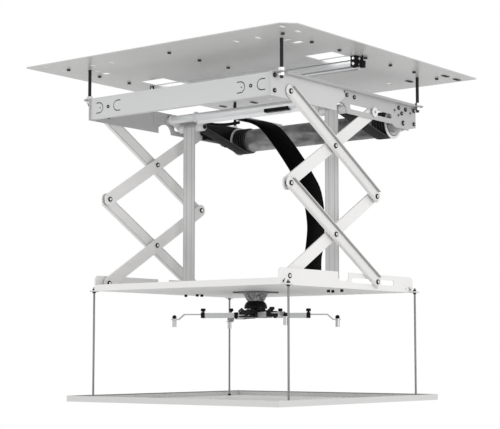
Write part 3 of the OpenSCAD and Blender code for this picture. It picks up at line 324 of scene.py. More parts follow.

# %% [markdown]
# ## The winding tube's skin
# The tube is galvanised steel that was left bare. Zinc grows broad soft flakes, so the tone drifts
# along the tube. A noise that is drawn out along the tube gives broad patches, which paint both this
# drift and mottled highlights on the satin tube, and a finer one gives the flakes. The bracket's cone
# is a rough casting with dark pores, under a mounting plate whose cut edge is dark.

# %% Galvanised tube
def galvanised(name, level, roughness):
    finish = Finish(name, roughness, 0.75)
    # The broad patches paint the zinc's drifting tone and also mottled highlights; the fine flakes are the zinc's own.
    patch = finish.noise(9, 3, (0.35, 1, 1))
    flake = finish.noise(70, 2, (0.5, 1, 1))
    tone = (patch * 0.65 + flake * 0.35).ramp(0.32, 0.68)
    finish.colour(finish.mix(tone, grey(level * 0.4, -0.01), grey(level * 1.5, 0.0)))
    finish.roughness(roughness - 0.06 + patch * 0.16)
    finish.relief(flake, 0.0001, 0.3)
    return finish.material


def cast_cone(name, level, edge_height):
    """A rough grey casting whose mounting plate shows a dark edge above edge_height."""
    finish = Finish(name, 0.5, 0.2)
    grain = finish.noise(240, 3)
    blotch = finish.noise(60, 2)
    tone = (grain * 0.75 + blotch * 0.25).ramp(0.38, 0.62)
    base = finish.mix(tone, grey(level * 0.35), grey(level * 1.35))
    finish.colour(finish.mix((finish.z > edge_height) * 0.9, base, grey(0.02)))
    finish.roughness(0.42 + grain * 0.2)
    finish.relief(grain, 0.0004, 0.6)
    return finish.material


tube_coat = galvanised("galvanised tube", 0.33, 0.36)
cone_coat = cast_cone("cast cone", 0.3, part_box("bracket_cone")[1].z - 0.0022)
print("one galvanised skin and one casting")

# %% [markdown]
# ## Threaded rods
# A thread is far too fine to model on a rod this long. Its helix reads as rings, so a sine of the
# height paints shade into the grooves as darker rings and lifts the crest in the relief.

# %% Threaded rods
def threaded_rod(name, level, pitch, metallic):
    finish = Finish(name, 0.4, metallic, **{"Specular IOR Level": 0.3})
    # Painted shade: the rings darken towards the groove between the crests.
    crest = (finish.z * (2 * math.pi / pitch)).wave() * 0.5 + 0.5
    dirt = finish.noise(90, 2)
    finish.colour(finish.mix(crest * 0.8 + dirt * 0.2, grey(level * 0.45), grey(level)))
    finish.roughness(0.5 - crest * 0.15)
    finish.relief(crest, pitch * 0.3, 0.6)
    return finish.material


HANGER_PITCH = 0.0025
DROP_PITCH = 0.0016
# The hanger rods' near-black tone is partly painted shade of their threads.
hanger_metal = threaded_rod("hanger rod steel", 0.035, HANGER_PITCH, 0.5)
drop_metal = threaded_rod("drop rod steel", 0.36, DROP_PITCH, 0.8)
print("thread rings every", HANGER_PITCH * 1000, "and", DROP_PITCH * 1000, "mm")

# %% [markdown]
# ## Plastics
# The rollers are white nylon with a fine speckle. The rail's ends and the motor
# head are black moulded plastic with a matt grain.

# %% Plastics
def moulded_plastic(name, level, roughness, grain, gloss=0.5):
    finish = Finish(name, roughness, **{"Specular IOR Level": gloss})
    speck = finish.noise(grain, 2)
    finish.colour(finish.mix(speck, grey(level * 0.86), grey(level * 1.08)))
    finish.roughness(roughness - 0.05 + speck * 0.12)
    finish.relief(speck, 0.00008, 0.4)
    return finish.material


nylon = moulded_plastic("white nylon", 0.82, 0.38, 300)
black_plastic = moulded_plastic("black plastic", 0.007, 0.45, 520, 0.1)
collar_rubber = moulded_plastic("collar rubber", 0.05, 0.5, 520, 0.24)
print("plastics:", 3)

# %% [markdown]
# ## Webbing and braid
# The belts are woven webbing: lengthwise ribs with a tighter edge. The ribs run along the belt, so the
# pattern reads the distance across it. The belt in front hangs in the light and is light grey with two
# darker lines. The stretch that runs back to the tube and the turns wound on it are the same belt,
# painted charcoal as painted shade, with pale threads near its edges; over the roller's top the
# stretch keeps a pale grey. The cable sleeve is a black braid: two families of slanted strands that
# cross.

# %% Webbing and braid
BELT_MIDDLE = 0.2215
BELT_HALF = 0.019
WEFT_STEP = 0.0022


def webbing(name, across, along, finish, level, line_level, lines):
    """Ribs along the belt, weft across it and darker or paler lines at shares of its half width."""
    ribs = (across * (2 * math.pi / 0.0042)).wave() * 0.5 + 0.5
    weft = (along * (2 * math.pi / WEFT_STEP)).wave() * 0.5 + 0.5
    wear = finish.noise(14, 3)
    base = finish.mix(ribs * 0.5 + weft * 0.2 + wear * 0.3, grey(level * 0.8), grey(level * 1.12))
    for low, high in lines:
        stripe = (across > BELT_HALF * low) * (across < BELT_HALF * high)
        base = finish.mix(stripe * 0.85, base, grey(line_level))
    finish.colour(base)
    finish.roughness(0.7 + weft * 0.12)
    finish.relief(ribs * 0.6 + weft * 0.4, 0.0004, 0.5)
    return finish.material


def hung_webbing(name):
    finish = Finish(name, 0.75, **{"Sheen Weight": 0.15})
    across = (finish.x.size() - BELT_MIDDLE).size()
    return webbing(name, across, finish.z, finish, 0.66, 0.4, ((0.38, 0.47), (0.93, 1.1)))


def painted_shade_webbing(name, shade_start):
    finish = Finish(name, 0.7, **{"Specular IOR Level": 0.2})
    across, along = finish.route()
    material = webbing(name, across.size(), along, finish, 0.009, 0.14,
                       ((0.2, 0.24), (0.6, 0.64), (0.95, 1.1)))
    # The whole belt here is painted charcoal as painted shade; with a shade start, the stretch over the roller before
    # it is pale grey.
    if shade_start:
        dark = finish.shader.inputs["Base Color"].links[0].from_socket
        finish.colour(finish.mix((along + finish.noise(90) * 0.004) > shade_start, grey(0.5), dark))
    return material


def braided_sleeve(name):
    finish = Finish(name, 0.6, **{"Specular IOR Level": 0.02})
    across, along = finish.route()
    first = ((along + across) * (2 * math.pi / 0.0036)).wave()
    second = ((along - across) * (2 * math.pi / 0.0036)).wave()
    strand = (first * second) * 0.5 + 0.5
    finish.colour(finish.mix(strand, grey(0.001), grey(0.004)))
    finish.roughness(0.5 + strand * 0.15)
    finish.relief(strand, 0.0005, 0.6)
    return finish.material


light_webbing = hung_webbing("light webbing")
# The sloping and wound belt is painted charcoal, as painted shade.
RUN_SHADE_START = 0.024
run_shade_webbing = painted_shade_webbing("webbing with painted shade past the roller", RUN_SHADE_START)
coil_shade_webbing = painted_shade_webbing("charcoal webbing", 0)
sleeve_braid = braided_sleeve("black braid")
print("webbing ribs every 4.2 mm, weft every", WEFT_STEP * 1000, "mm")

# %% [markdown]
# ## Dress the CAD pieces
# Each CAD node takes the finish of its material slot. The nodes' meshes are left as they are.

# %% Assign the finishes
SLOT_FINISH = {
    "frame_paint": frame_coat,
    "plate_paint": plate_coat,
    "arm_paint": arm_coat,
    "rail_aluminium": rail_metal,
    "silver_tube": tube_metal,
    "black_fittings": black_plastic,
    "ball_black": black_coat,
    "rod_dark": hanger_metal,
    "bright_nuts": bright_metal,
    "zinc_steel": zinc_metal,
    "roller_white": nylon,
    "tube_grey": tube_coat,
    "belt_dark": coil_shade_webbing,
    "belt_light": light_webbing,
    "sleeve_black": sleeve_braid,
    "drop_steel": drop_metal,
    "cone_grey": cone_coat,
    "arm_silver": reach_metal,
    "foot_steel": foot_metal,
}
NODE_FINISH = {
    "cable_bar": bar_metal,
    "side_plate_right": side_coat,
    "side_plate_left": side_coat,
    "platform_tray": arm_coat,
    "bottom_tray": tray_coat,
    "platform_bracket_right": arm_coat,
    "platform_bracket_left": arm_coat,
    "roller_brackets": arm_coat,
    "roller_axles": pin_metal,
    "upper_outer_arm_right": upper_channel_coat,
    "upper_outer_arm_left": upper_channel_coat,
    "lower_outer_arm_right": lower_channel_coat,
    "lower_outer_arm_left": lower_channel_coat,
    "plate_collars": collar_rubber,
    "frame_screws": pin_metal,
    "drop_nuts": pin_metal,
    "upper_outer_pins": pin_metal,
    "upper_inner_pins": pin_metal,
    "lower_inner_pins": pin_metal,
    "lower_outer_pins": pin_metal,
    "top_pivot_pins": pin_metal,
    "bottom_pivot_pins": pin_metal,
}
for entry in frame["record"]["subparts"]:
    node = frame["nodes"].get(entry["node"])
    if node is None:
        continue
    node.data.materials.clear()
    node.data.materials.append(SLOT_FINISH[entry["material_slot"]])
for name, material in NODE_FINISH.items():
    frame["nodes"][name].data.materials[0] = material
print("dressed", len(frame["nodes"]), "nodes")

# %% [markdown]
# ## Making small pieces
# The small fittings start as a bmesh primitive, are shaped by operators and end as an object at the
# origin, with its place in its mesh. Then the piece rides on the body that carries it.

# %% Helpers for new pieces
def finish_piece(mesh_maker, name, material, body):
    """Turns a bmesh into a piece that rides on a body."""
    bmesh.ops.remove_doubles(mesh_maker, verts=mesh_maker.verts, dist=1e-6)
    bmesh.ops.recalc_face_normals(mesh_maker, faces=mesh_maker.faces)
    mesh = bpy.data.meshes.new(name)
    mesh_maker.to_mesh(mesh)
    mesh_maker.free()
    mesh.materials.append(material)
    piece = bpy.data.objects.new(name, mesh)
    bpy.context.scene.collection.objects.link(piece)
    if body:
        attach(piece, body)
    return piece


def add_disc(maker, place, axis, radius, height, edge, segments=24, top_radius=None):
    """A round block along an axis, with its first face at place and rounded edges."""
    top = radius if top_radius is None else top_radius
    turn = Vector((0, 0, 1)).rotation_difference(Vector(axis)).to_matrix().to_4x4()
    lift = Matrix.Translation((0, 0, height / 2))
    made = bmesh.ops.create_cone(
        maker, cap_ends=True, segments=segments, radius1=radius, radius2=top, depth=height,
        matrix=Matrix.Translation(place) @ turn @ lift)
    if edge:
        rims = {e for v in made["verts"] for e in v.link_edges if len(e.link_faces) == 2
                and any(len(f.verts) > 4 for f in e.link_faces)}
        bmesh.ops.bevel(maker, geom=list(rims), offset=edge, offset_type="OFFSET", affect="EDGES",
                        segments=2, profile=0.5, material=-1)


def add_block(maker, low, high, edge=0.0):
    """A box between two corners, with rounded edges."""
    size = Vector(high) - Vector(low)
    middle = (Vector(high) + Vector(low)) / 2
    shape = Matrix.Translation(middle) @ Matrix.Diagonal((size.x, size.y, size.z, 1))
    made = bmesh.ops.create_cube(maker, size=1, matrix=shape)
    if edge:
        edges = {e for v in made["verts"] for e in v.link_edges}
        bmesh.ops.bevel(maker, geom=list(edges), offset=edge, offset_type="OFFSET", affect="EDGES",
                        segments=2, profile=0.5, material=-1)


def turn_about_z(maker, degrees):
    bmesh.ops.rotate(maker, verts=maker.verts, cent=(0, 0, 0),
                     matrix=Matrix.Rotation(math.radians(degrees), 3, "Z"))


print("piece helpers ready")

# %% [markdown]
# ## Swept bands
# Webbing and the flat sleeve keep one section along a bent route. The section is eight vertices, and
# each step extrudes its edges and moves the new ring into the next frame of the route. The band gets
# a UV map in metres, across and along, so that a weave can follow every bend.

# %% Sweep a flat section along a route
SECTION = ((-0.5, 0), (-0.485, 0.5), (0, 0.56), (0.485, 0.5),
           (0.5, 0), (0.485, -0.5), (0, -0.56), (-0.485, -0.5))


TWIST_SHARE = 0.64


def smooth_route(points, pieces):
    """A smooth route through the points, by Catmull and Rom's rule, in equal shares of each span."""
    points = [Vector(point) for point in points]
    ends = [2 * points[0] - points[1]] + points + [2 * points[-1] - points[-2]]
    route = []
    for before, start, stop, after in zip(ends, ends[1:], ends[2:], ends[3:]):
        for step in range(pieces):
            t = step / pieces
            route.append(0.5 * ((2 * start) + (stop - before) * t
                                + (2 * before - 5 * start + 4 * stop - after) * t * t
                                + (3 * start - before - 3 * stop + after) * t * t * t))
    return route + [points[-1]]


def route_length(route):
    return sum((after - before).length for before, after in zip(route, route[1:]))


def route_frames(route, across, twist):
    """A frame at each point. The twist rises to its full angle, falls, and ends at TWIST_SHARE of the route."""
    frames = []
    last = len(route) - 1
    for index, point in enumerate(route):
        way = (route[min(index + 1, last)] - route[max(index - 1, 0)]).normalized()
        rise = way.cross(across).normalized()
        turn = Matrix((across, rise, way)).transposed().to_4x4()
        share = min(1.0, index / last / TWIST_SHARE)
        roll = Matrix.Rotation(twist * math.sin(math.pi * share), 4, "Z")
        frames.append(Matrix.Translation(point) @ turn @ roll)
    return frames


def sweep(maker, route, across, width, thick, twist=0.0):
    """Draws the section out along the route, with caps and a UV map in metres."""
    chart = maker.loops.layers.uv.new("route")
    frames = route_frames(route, Vector(across), twist)
    ring = [maker.verts.new(frames[0] @ Vector((u * width, v * thick, 0))) for u, v in SECTION]
    edges = [maker.edges.new((ring[i], ring[i - 1])) for i in range(len(ring))]
    shares = {vert: (u * width, 0.0) for vert, (u, v) in zip(ring, SECTION)}
    gone = 0.0
    for before, after in zip(frames, frames[1:]):
        gone += (after.translation - before.translation).length
        made = bmesh.ops.extrude_edge_only(maker, edges=edges)["geom"]
        fresh = [item for item in made if isinstance(item, bmesh.types.BMVert)]
        bmesh.ops.transform(maker, matrix=after @ before.inverted(), verts=fresh)
        for vert in fresh:
            shares[vert] = ((after.inverted() @ vert.co).x, gone)
        edges = [item for item in made if isinstance(item, bmesh.types.BMEdge)
                 and all(vert in fresh for vert in item.verts)]
    bmesh.ops.holes_fill(maker, edges=[edge for edge in maker.edges if edge.is_boundary], sides=0)
    for face in maker.faces:
        face.smooth = len(face.verts) == 4
        for loop in face.loops:
            loop[chart].uv = shares[loop.vert]


print("sweep ready, section of", len(SECTION), "points")

# %% [markdown]
# ## Cable sleeve
# The platform's cables run down in a flat black sleeve. It leaves the cable bar's underside almost
# level, turns down under its own weight and lands on the platform. The sleeve's upper part rides on
# no body, and a short end stands on the platform, as with the belts. Its route follows the CAD source,
# but for the last stretch, which is upright here so that the upper part can slide down over the short
# end.

# %% Cable sleeve
SLEEVE_BACK = 0.060
SLEEVE_WIDTH = 0.072
SLEEVE_THICK = 0.003
SLEEVE_TWIST = math.radians(12)
SLEEVE_PLACES = ((-93.2, -101.8), (-70.4, -102.8), (-36, -112.4), (-0.8, -130), (38.4, -172), (79.2, -224.8),
                 (100, -256), (120.4, -288), (131.6, -324), (137.6, -364), (138, -400), (133.6, -436),
                 (129.2, -458), (128.1, -474), (128.1, -488))
TAIL_HEIGHT = 0.042
TAIL_MARGIN = 0.036
tray_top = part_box("belt_clamps")[0].z
sleeve_stop = tray_top + TAIL_MARGIN
sleeve_points = [(x / 1000, SLEEVE_BACK, z / 1000) for x, z in SLEEVE_PLACES]
sleeve_points.append((0.1281, SLEEVE_BACK, sleeve_stop))
sleeve_route = smooth_route(sleeve_points, 3)
maker = bmesh.new()
sweep(maker, sleeve_route, (0, 1, 0), SLEEVE_WIDTH, SLEEVE_THICK, SLEEVE_TWIST)
sleeve = finish_piece(maker, "sleeve_upper", sleeve_braid, None)
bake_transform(sleeve)
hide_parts("cable_sleeve")
tail_route = [Vector((0.1281, SLEEVE_BACK, tray_top + 0.0002 + TAIL_HEIGHT * step / 4)) for step in range(5)]
maker = bmesh.new()
sweep(maker, tail_route, (0, 1, 0), SLEEVE_WIDTH - 0.0006, SLEEVE_THICK - 0.0008)
sleeve_tail = finish_piece(maker, "sleeve_end", sleeve_braid, "platform")
round(route_length(sleeve_route), 4)
print("sleeve route", round(route_length(sleeve_route), 3), "m in", len(sleeve_route), "points")

# %% [markdown]
# ## Motor cable
# A short black cable leads from the left roller's bracket to the sleeve's start. A round cable is a
# curve with a bevel, which keeps its route easy to change.

# %% Motor cable
CABLE_WIDTH = 0.008
cable_points = [(-0.1805, 0.030, -0.1035), (-0.166, 0.034, -0.1075), (-0.150, 0.040, -0.1095),
                (-0.130, 0.047, -0.110), (-0.110, 0.053, -0.1085), (-0.096, 0.057, -0.1065)]
cable_route = smooth_route(cable_points, 4)
curve = bpy.data.curves.new("motor_cable", "CURVE")
curve.dimensions = "3D"
curve.bevel_depth = CABLE_WIDTH / 2
curve.bevel_resolution = 4
curve.use_fill_caps = True
spline = curve.splines.new("POLY")
spline.points.add(len(cable_route) - 1)
for point, place in zip(spline.points, cable_route):
    point.co = (*place, 1)
curve.materials.append(black_plastic)
cable = bpy.data.objects.new("motor_cable", curve)
bpy.context.scene.collection.objects.link(cable)
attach(cable, "frame")
round(route_length(cable_route), 4)
print("cable", round(route_length(cable_route), 3), "m")

# %% [markdown]
# ## Hanging belts
# A belt hangs from the guide roller to its clamp on the platform. When the platform moves, the belt
# pays out over the roller, which a fixed mesh can't do. So the belt is two pieces. The upper one is
# cut into level rings and rides on no body, and the short lower one is fixed to the platform and
# covers the difference between the two.

# %% Hanging belts
BELT_OVERLAP = 0.042
BELT_MARGIN = 0.036


def strip(maker, low, high, rings):
    """An upright strip with level cuts, so that it can stretch."""
    add_block(maker, low, high)
    step = (high[2] - low[2]) / rings
    for ring in range(1, rings):
        geometry = maker.verts[:] + maker.edges[:] + maker.faces[:]
        bmesh.ops.bisect_plane(maker, geom=geometry, plane_co=(0, 0, low[2] + ring * step),
                               plane_no=(0, 0, 1))


for side in ("right", "left"):
    low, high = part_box("belt_" + side)
    skin = 0.0001
    maker = bmesh.new()
    strip(maker, (low.x, low.y, low.z + BELT_MARGIN), (high.x, high.y, high.z), 24)
    upper = finish_piece(maker, "hanging_belt_" + side, light_webbing, None)
    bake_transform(upper)
    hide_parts("belt_" + side)
    maker = bmesh.new()
    strip(maker, (low.x + skin, low.y + skin, low.z), (high.x - skin, high.y - skin, low.z + BELT_OVERLAP), 4)
    finish_piece(maker, "belt_end_" + side, light_webbing, "platform")
    print("belt", side, "hangs", round(high.z - low.z, 3), "m")

# %% [markdown]
# ## Belts at the roller and on the tube
# Over the guide roller the belt turns and slopes down to the tube's underside, where it is wound. Both
# stretches are swept like the sleeve, round the same middles and radii as in the CAD source.

# %% Sloping and wound belts
ROLLER_MIDDLE = (0.0195, -0.114)
DRUM_MIDDLE = (0.243, -0.122)
BELT_THICK = 0.0014
RUN_RADIUS = 0.0108
COIL_START = 0.0303
COIL_PITCH = 0.0019
COIL_TURNS = 1.5
LAY_RADIUS = COIL_START + COIL_PITCH * COIL_TURNS + BELT_THICK + 0.0003


def ring_place(middle, radius, degrees, x):
    angle = math.radians(degrees)
    return Vector((x, middle[0] + radius * math.cos(angle), middle[1] + radius * math.sin(angle)))


across_run = DRUM_MIDDLE[0] - ROLLER_MIDDLE[0]
fall_run = DRUM_MIDDLE[1] - ROLLER_MIDDLE[1]
span_run = math.hypot(across_run, fall_run)
reach_run = RUN_RADIUS + LAY_RADIUS + BELT_THICK
run_slope = math.degrees(math.atan2(fall_run, across_run) - math.asin(reach_run / span_run))
run_length = math.sqrt(span_run ** 2 - reach_run ** 2)


def run_route(x):
    radius = RUN_RADIUS + BELT_THICK / 2
    wrap = [ring_place(ROLLER_MIDDLE, radius, 180 + (run_slope - 90) * step / 16, x) for step in range(17)]
    slope = math.radians(run_slope)
    way = Vector((0, math.cos(slope), math.sin(slope)))
    return wrap + [wrap[-1] + way * run_length * step / 12 for step in range(1, 13)]


def coil_route(x):
    steps = 72
    radii = [COIL_START + COIL_PITCH * COIL_TURNS * (1 - step / steps) + BELT_THICK / 2 for step in range(steps + 1)]
    return [ring_place(DRUM_MIDDLE, radii[step], run_slope - 90 + step * COIL_TURNS * 360 / steps, x)
            for step in range(steps + 1)]


for side, sign in (("right", 1), ("left", -1)):
    for name, route, body, weave in (("belt_run_", run_route, "frame", run_shade_webbing),
                                     ("belt_coil_", coil_route, "drum", coil_shade_webbing)):
        maker = bmesh.new()
        sweep(maker, route(sign * BELT_MIDDLE), (1, 0, 0), 2 * BELT_HALF, BELT_THICK)
        band = finish_piece(maker, name + side, weave, body)
        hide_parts("belt_runs" if body == "frame" else "belt_coils")
print("the belt slopes", round(run_slope, 1), "degrees over", round(run_length, 3), "m")

# %% [markdown]
# ## Caps on pins and screws
# Every pin ends in a turned head with a bright cap and a hexagon hole for a key. The hole is a black
# hexagon disc on the cap, which paints the hole's shade. The CAD pins have plain heads, so the caps
# are added here. Their places are measured: a copy of the node's mesh is merged, and each group of
# joined vertices is one pin. The sliding pins pass close by the guide rollers' axles, so they have no
# cap inside.

# %% Caps on pins and screws
PIN_CAP = 0.0034
SIDE_CAP = 0.0014
FRONT_CAP = 0.0009
ROLLER_PASS = -0.130
PIN_BODY = {
    "upper_outer_pins": "upper_outer_arms",
    "upper_inner_pins": "upper_inner_arms",
    "lower_inner_pins": "lower_inner_arms",
    "lower_outer_pins": "lower_outer_arms",
    "top_pivot_pins": "frame",
    "bottom_pivot_pins": "platform",
}


def solid_boxes(node):
    """The box of each separate solid of a CAD node."""
    copy = bmesh.new()
    copy.from_mesh(frame["nodes"][node].data)
    bmesh.ops.remove_doubles(copy, verts=copy.verts, dist=1e-6)
    copy.verts.index_update()
    left = dict.fromkeys(copy.verts)
    boxes = []
    while left:
        queue = [left.popitem()[0]]
        found = []
        while queue:
            vert = queue.pop()
            found.append(vert.co.copy())
            for edge in vert.link_edges:
                other = edge.other_vert(vert)
                if other in left:
                    del left[other]
                    queue.append(other)
        boxes.append([Vector([pick(co[axis] for co in found) for axis in range(3)]) for pick in (min, max)])
    copy.free()
    return sorted(boxes, key=lambda box: tuple(box[0]))


def cap_pair(place, axis, radius, bright, dark):
    """A bright cap with a black hexagon disc on it, which paints the shade of the key hole."""
    add_disc(bright, place, axis, radius, radius * 0.22, radius * 0.1, 20)
    # The black hexagon disc paints the shade of the key hole.
    add_disc(dark, Vector(place) + Vector(axis) * radius * 0.12, axis, radius * 0.3, radius * 0.14, 0, 6)


for node, body in PIN_BODY.items():
    bright, dark = bmesh.new(), bmesh.new()
    for low, high in solid_boxes(node):
        side = 1 if high.x > 0 else -1
        near, far = sorted((abs(low.x), abs(high.x)))
        y, z = (low.y + high.y) / 2, (low.z + high.z) / 2
        cap_pair((side * far, y, z), (side, 0, 0), PIN_CAP, bright, dark)
        if node != "upper_inner_pins" or z < ROLLER_PASS:
            cap_pair((side * near, y, z), (-side, 0, 0), PIN_CAP, bright, dark)
    finish_piece(bright, "caps_" + node, cap_metal, body)
    finish_piece(dark, "socket_shade_" + node, black_coat, body)

bright, dark = bmesh.new(), bmesh.new()
for low, high in solid_boxes("frame_screws"):
    middle = (low + high) / 2
    if abs(middle.x) > 0.25:
        side = 1 if middle.x > 0 else -1
        place = (side * max(abs(low.x), abs(high.x)), middle.y, middle.z)
        cap_pair(place, (side, 0, 0), SIDE_CAP, bright, dark)
    else:
        cap_pair((middle.x, low.y, middle.z), (0, -1, 0), FRONT_CAP, bright, dark)
finish_piece(bright, "screw_caps", cap_metal, "frame")
finish_piece(dark, "screw_socket_shade", black_coat, "frame")
print("caps on", len(PIN_BODY), "kinds of pin and on the screws")

# %% [markdown]
# ## Shade sheets and plugs
# Thin black sheets lie behind the lanced arcs of the front channel: they paint the shade inside the
# channel, which shows through the arcs. Rubber plugs close the rear slots of the ceiling plate. The
# cross tube carries a rubber stop for the platform, and white washers keep the sliding rollers in line.

# %% Shade sheets, plugs and washers
SHADE_SHEET_THICK = 0.001
PATTERN_MIDDLE = 0.217
ARC_OFFSET = 0.030
SHEET = 0.002
channel_low, channel_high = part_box("front_channel")
pattern_z = (channel_low.z + channel_high.z) / 2
shade_sheet_y = channel_low.y + SHEET
# Black sheets behind the lanced arcs: painted shade of the channel's inside, seen through the arcs.
shade_sheets = bmesh.new()
for side in (-1, 1):
    for turn in (-1, 1):
        arc = side * PATTERN_MIDDLE + turn * ARC_OFFSET
        xs = sorted((arc - turn * 0.0148, arc + turn * 0.0115))
        add_block(shade_sheets, (xs[0], shade_sheet_y, pattern_z - 0.0148), (xs[1], shade_sheet_y + SHADE_SHEET_THICK, pattern_z + 0.0148))
finish_piece(shade_sheets, "arc_shade_sheets", black_plastic, "frame")

PLATE_LOW = -0.002
SLOT_PLACES = ((0.357, 0.370), (0.357, 0.313), (0.250, 0.316))
plugs = bmesh.new()
for side in (-1, 1):
    for x, y in SLOT_PLACES:
        add_block(plugs, (side * x - 0.0052, y - 0.0128, PLATE_LOW - 0.0016),
                  (side * x + 0.0052, y + 0.0128, PLATE_LOW + 0.0004), 0.0006)
finish_piece(plugs, "slot_plugs", black_plastic, "frame")

stop = bmesh.new()
add_block(stop, (0.0415, -0.0218, -0.1062), (0.1144, -0.0114, -0.0975), 0.0008)
finish_piece(stop, "tube_stop", black_plastic, "frame")

WASHER_RADIUS = 0.0118
WASHER_THICK = 0.0014
washers, bright, dark = (bmesh.new() for _ in range(3))
for low, high in solid_boxes("upper_slot_rollers"):
    side = 1 if high.x > 0 else -1
    outer = max(abs(low.x), abs(high.x)) + 0.0003
    y, z = (low.y + high.y) / 2, (low.z + high.z) / 2
    add_disc(washers, (side * outer, y, z), (side, 0, 0), WASHER_RADIUS, WASHER_THICK, 0.0004, 32)
    cap_pair((side * (outer + WASHER_THICK), y, z), (side, 0, 0), PIN_CAP, bright, dark)
finish_piece(washers, "roller_washers", nylon, "upper_inner_arms")
finish_piece(bright, "washer_caps", bright_metal, "upper_inner_arms")
finish_piece(dark, "washer_socket_shade", black_coat, "upper_inner_arms")

# Rivets in the side plates' small holes, a cover on the tube's axle and two marks on the flange.
side_low, side_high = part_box("side_plate_right")
PLATE_FACE = 0.277
HOLE_PLACES = ((0.668, 0.415), (0.727, 0.606), (0.909, 0.385))
FRAME_HEIGHT = 0.054
rivets, axles = bmesh.new(), bmesh.new()
for side in (-1, 1):
    out = (side, 0, 0)
    face = side * PLATE_FACE
    for along, down in HOLE_PLACES:
        place = (face, along * side_high.y, side_high.z - down * FRAME_HEIGHT)
        add_disc(rivets, place, out, 0.0026, 0.0006, 0.0002, 16)
    add_disc(rivets, (face, DRUM_MIDDLE[0] - 0.001, DRUM_MIDDLE[1]), out, 0.0064, 0.0006, 0.0002, 24)
    add_disc(axles, (face, DRUM_MIDDLE[0] + 0.0012, DRUM_MIDDLE[1]), out, 0.0040, 0.0016, 0.0004, 20)
    for y in (-0.019,):
        add_block(rivets, (min(face, face + side * 0.0006), y - 0.0015, -0.0835),
                  (max(face, face + side * 0.0006), y + 0.0015, -0.0765))
finish_piece(rivets, "side_rivets", black_plastic, "frame")
finish_piece(axles, "axle_covers", bright_metal, "frame")

BRACKET_FACE = 0.277
marks = bmesh.new()
for side in (-1, 1):
    for y, z, radius in ((-0.2600, -0.5340, 0.0024), (-0.2560, -0.5300, 0.0016),
                         (0.2645, -0.5350, 0.0024), (0.2600, -0.5310, 0.0016)):
        add_disc(marks, (side * BRACKET_FACE, y, z), (side, 0, 0), radius, 0.0008, 0.0002, 20)
finish_piece(marks, "bracket_rivets", black_plastic, "platform")

tray_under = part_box("platform_tray")[0].z
CORNER_WASHER = 0.0105
CORNER_THICK = 0.0012
corner_washers = bmesh.new()
for low, high in solid_boxes("drop_nuts"):
    if abs(high.z - tray_under) < 0.002:
        place = ((low.x + high.x) / 2, (low.y + high.y) / 2, high.z - CORNER_THICK)
        add_disc(corner_washers, place, (0, 0, 1), CORNER_WASHER, CORNER_THICK - 0.0001, 0.0002, 32)
finish_piece(corner_washers, "corner_washers", zinc_metal, "platform")
print("pads, plugs, a stop, washers and rivets")

# %% [markdown]
# ## Rail ends, rod and box
# The aluminium rail ends in black moulded blocks that are held by bright screws. A drawn rod lies in
# the rail's lower groove, and a small black box hangs beside the right end on a stem.

# %% Rail fittings
RAIL_Y = -0.0215
RAIL_HIGH = -0.002
RAIL_SIDE = 0.025
RAIL_HALF = 0.305
rail_low, rail_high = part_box("rail_fittings")
END_STOP = -rail_low.x
blocks, rods, screws, boxes = (bmesh.new() for _ in range(4))
for side in (-1, 1):
    xs = sorted((side * RAIL_HALF, side * END_STOP))
    add_block(blocks, (xs[0], RAIL_Y - RAIL_SIDE / 2, RAIL_HIGH - RAIL_SIDE),
              (xs[1], RAIL_Y + RAIL_SIDE / 2, RAIL_HIGH), 0.0012)
    for drop in (0.006, 0.019):
        place = ((xs[0] + xs[1]) / 2, RAIL_Y - RAIL_SIDE / 2, RAIL_HIGH - drop)
        add_disc(screws, place, (0, -1, 0), 0.0034, 0.0014, 0.0004, 16)
        add_disc(screws, (side * END_STOP, RAIL_Y, RAIL_HIGH - drop), (side, 0, 0), 0.0034, 0.0014, 0.0004, 16)
add_disc(rods, (-RAIL_HALF, RAIL_Y, RAIL_HIGH - RAIL_SIDE - 0.003354), (1, 0, 0), 0.0045,
         RAIL_HALF + END_STOP, 0.0006, 32)
BOX_START = rail_high.x - 0.011
add_block(boxes, (BOX_START, RAIL_Y - 0.0055, rail_high.z - 0.029), (rail_high.x, RAIL_Y + 0.0055, -0.0145), 0.001)
add_disc(boxes, ((BOX_START + rail_high.x) / 2, RAIL_Y, -0.0145), (0, 0, 1), 0.0022, 0.0125, 0, 16)
rail_parts = [
    finish_piece(blocks, "rail_end_blocks", black_plastic, "frame"),
    finish_piece(rods, "rail_rod", rail_metal, "frame"),
    finish_piece(boxes, "rail_box", black_plastic, "frame"),
]
for part in rail_parts:
    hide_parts("rail_fittings")
finish_piece(screws, "rail_screws", cap_metal, "frame")
print("rail ends stop at", round(END_STOP, 4), "m")

# %% [markdown]
# ## Bracket fittings
# The bracket's arms are held by black clamps with thumb screws, and each foot ends in a black ball
# knob. Pieces of one arm are made along X and then turned about the hub, as a workshop would draw
# one arm and repeat it. The ball's cover is a turned dome, so its profile is spun round the hub.

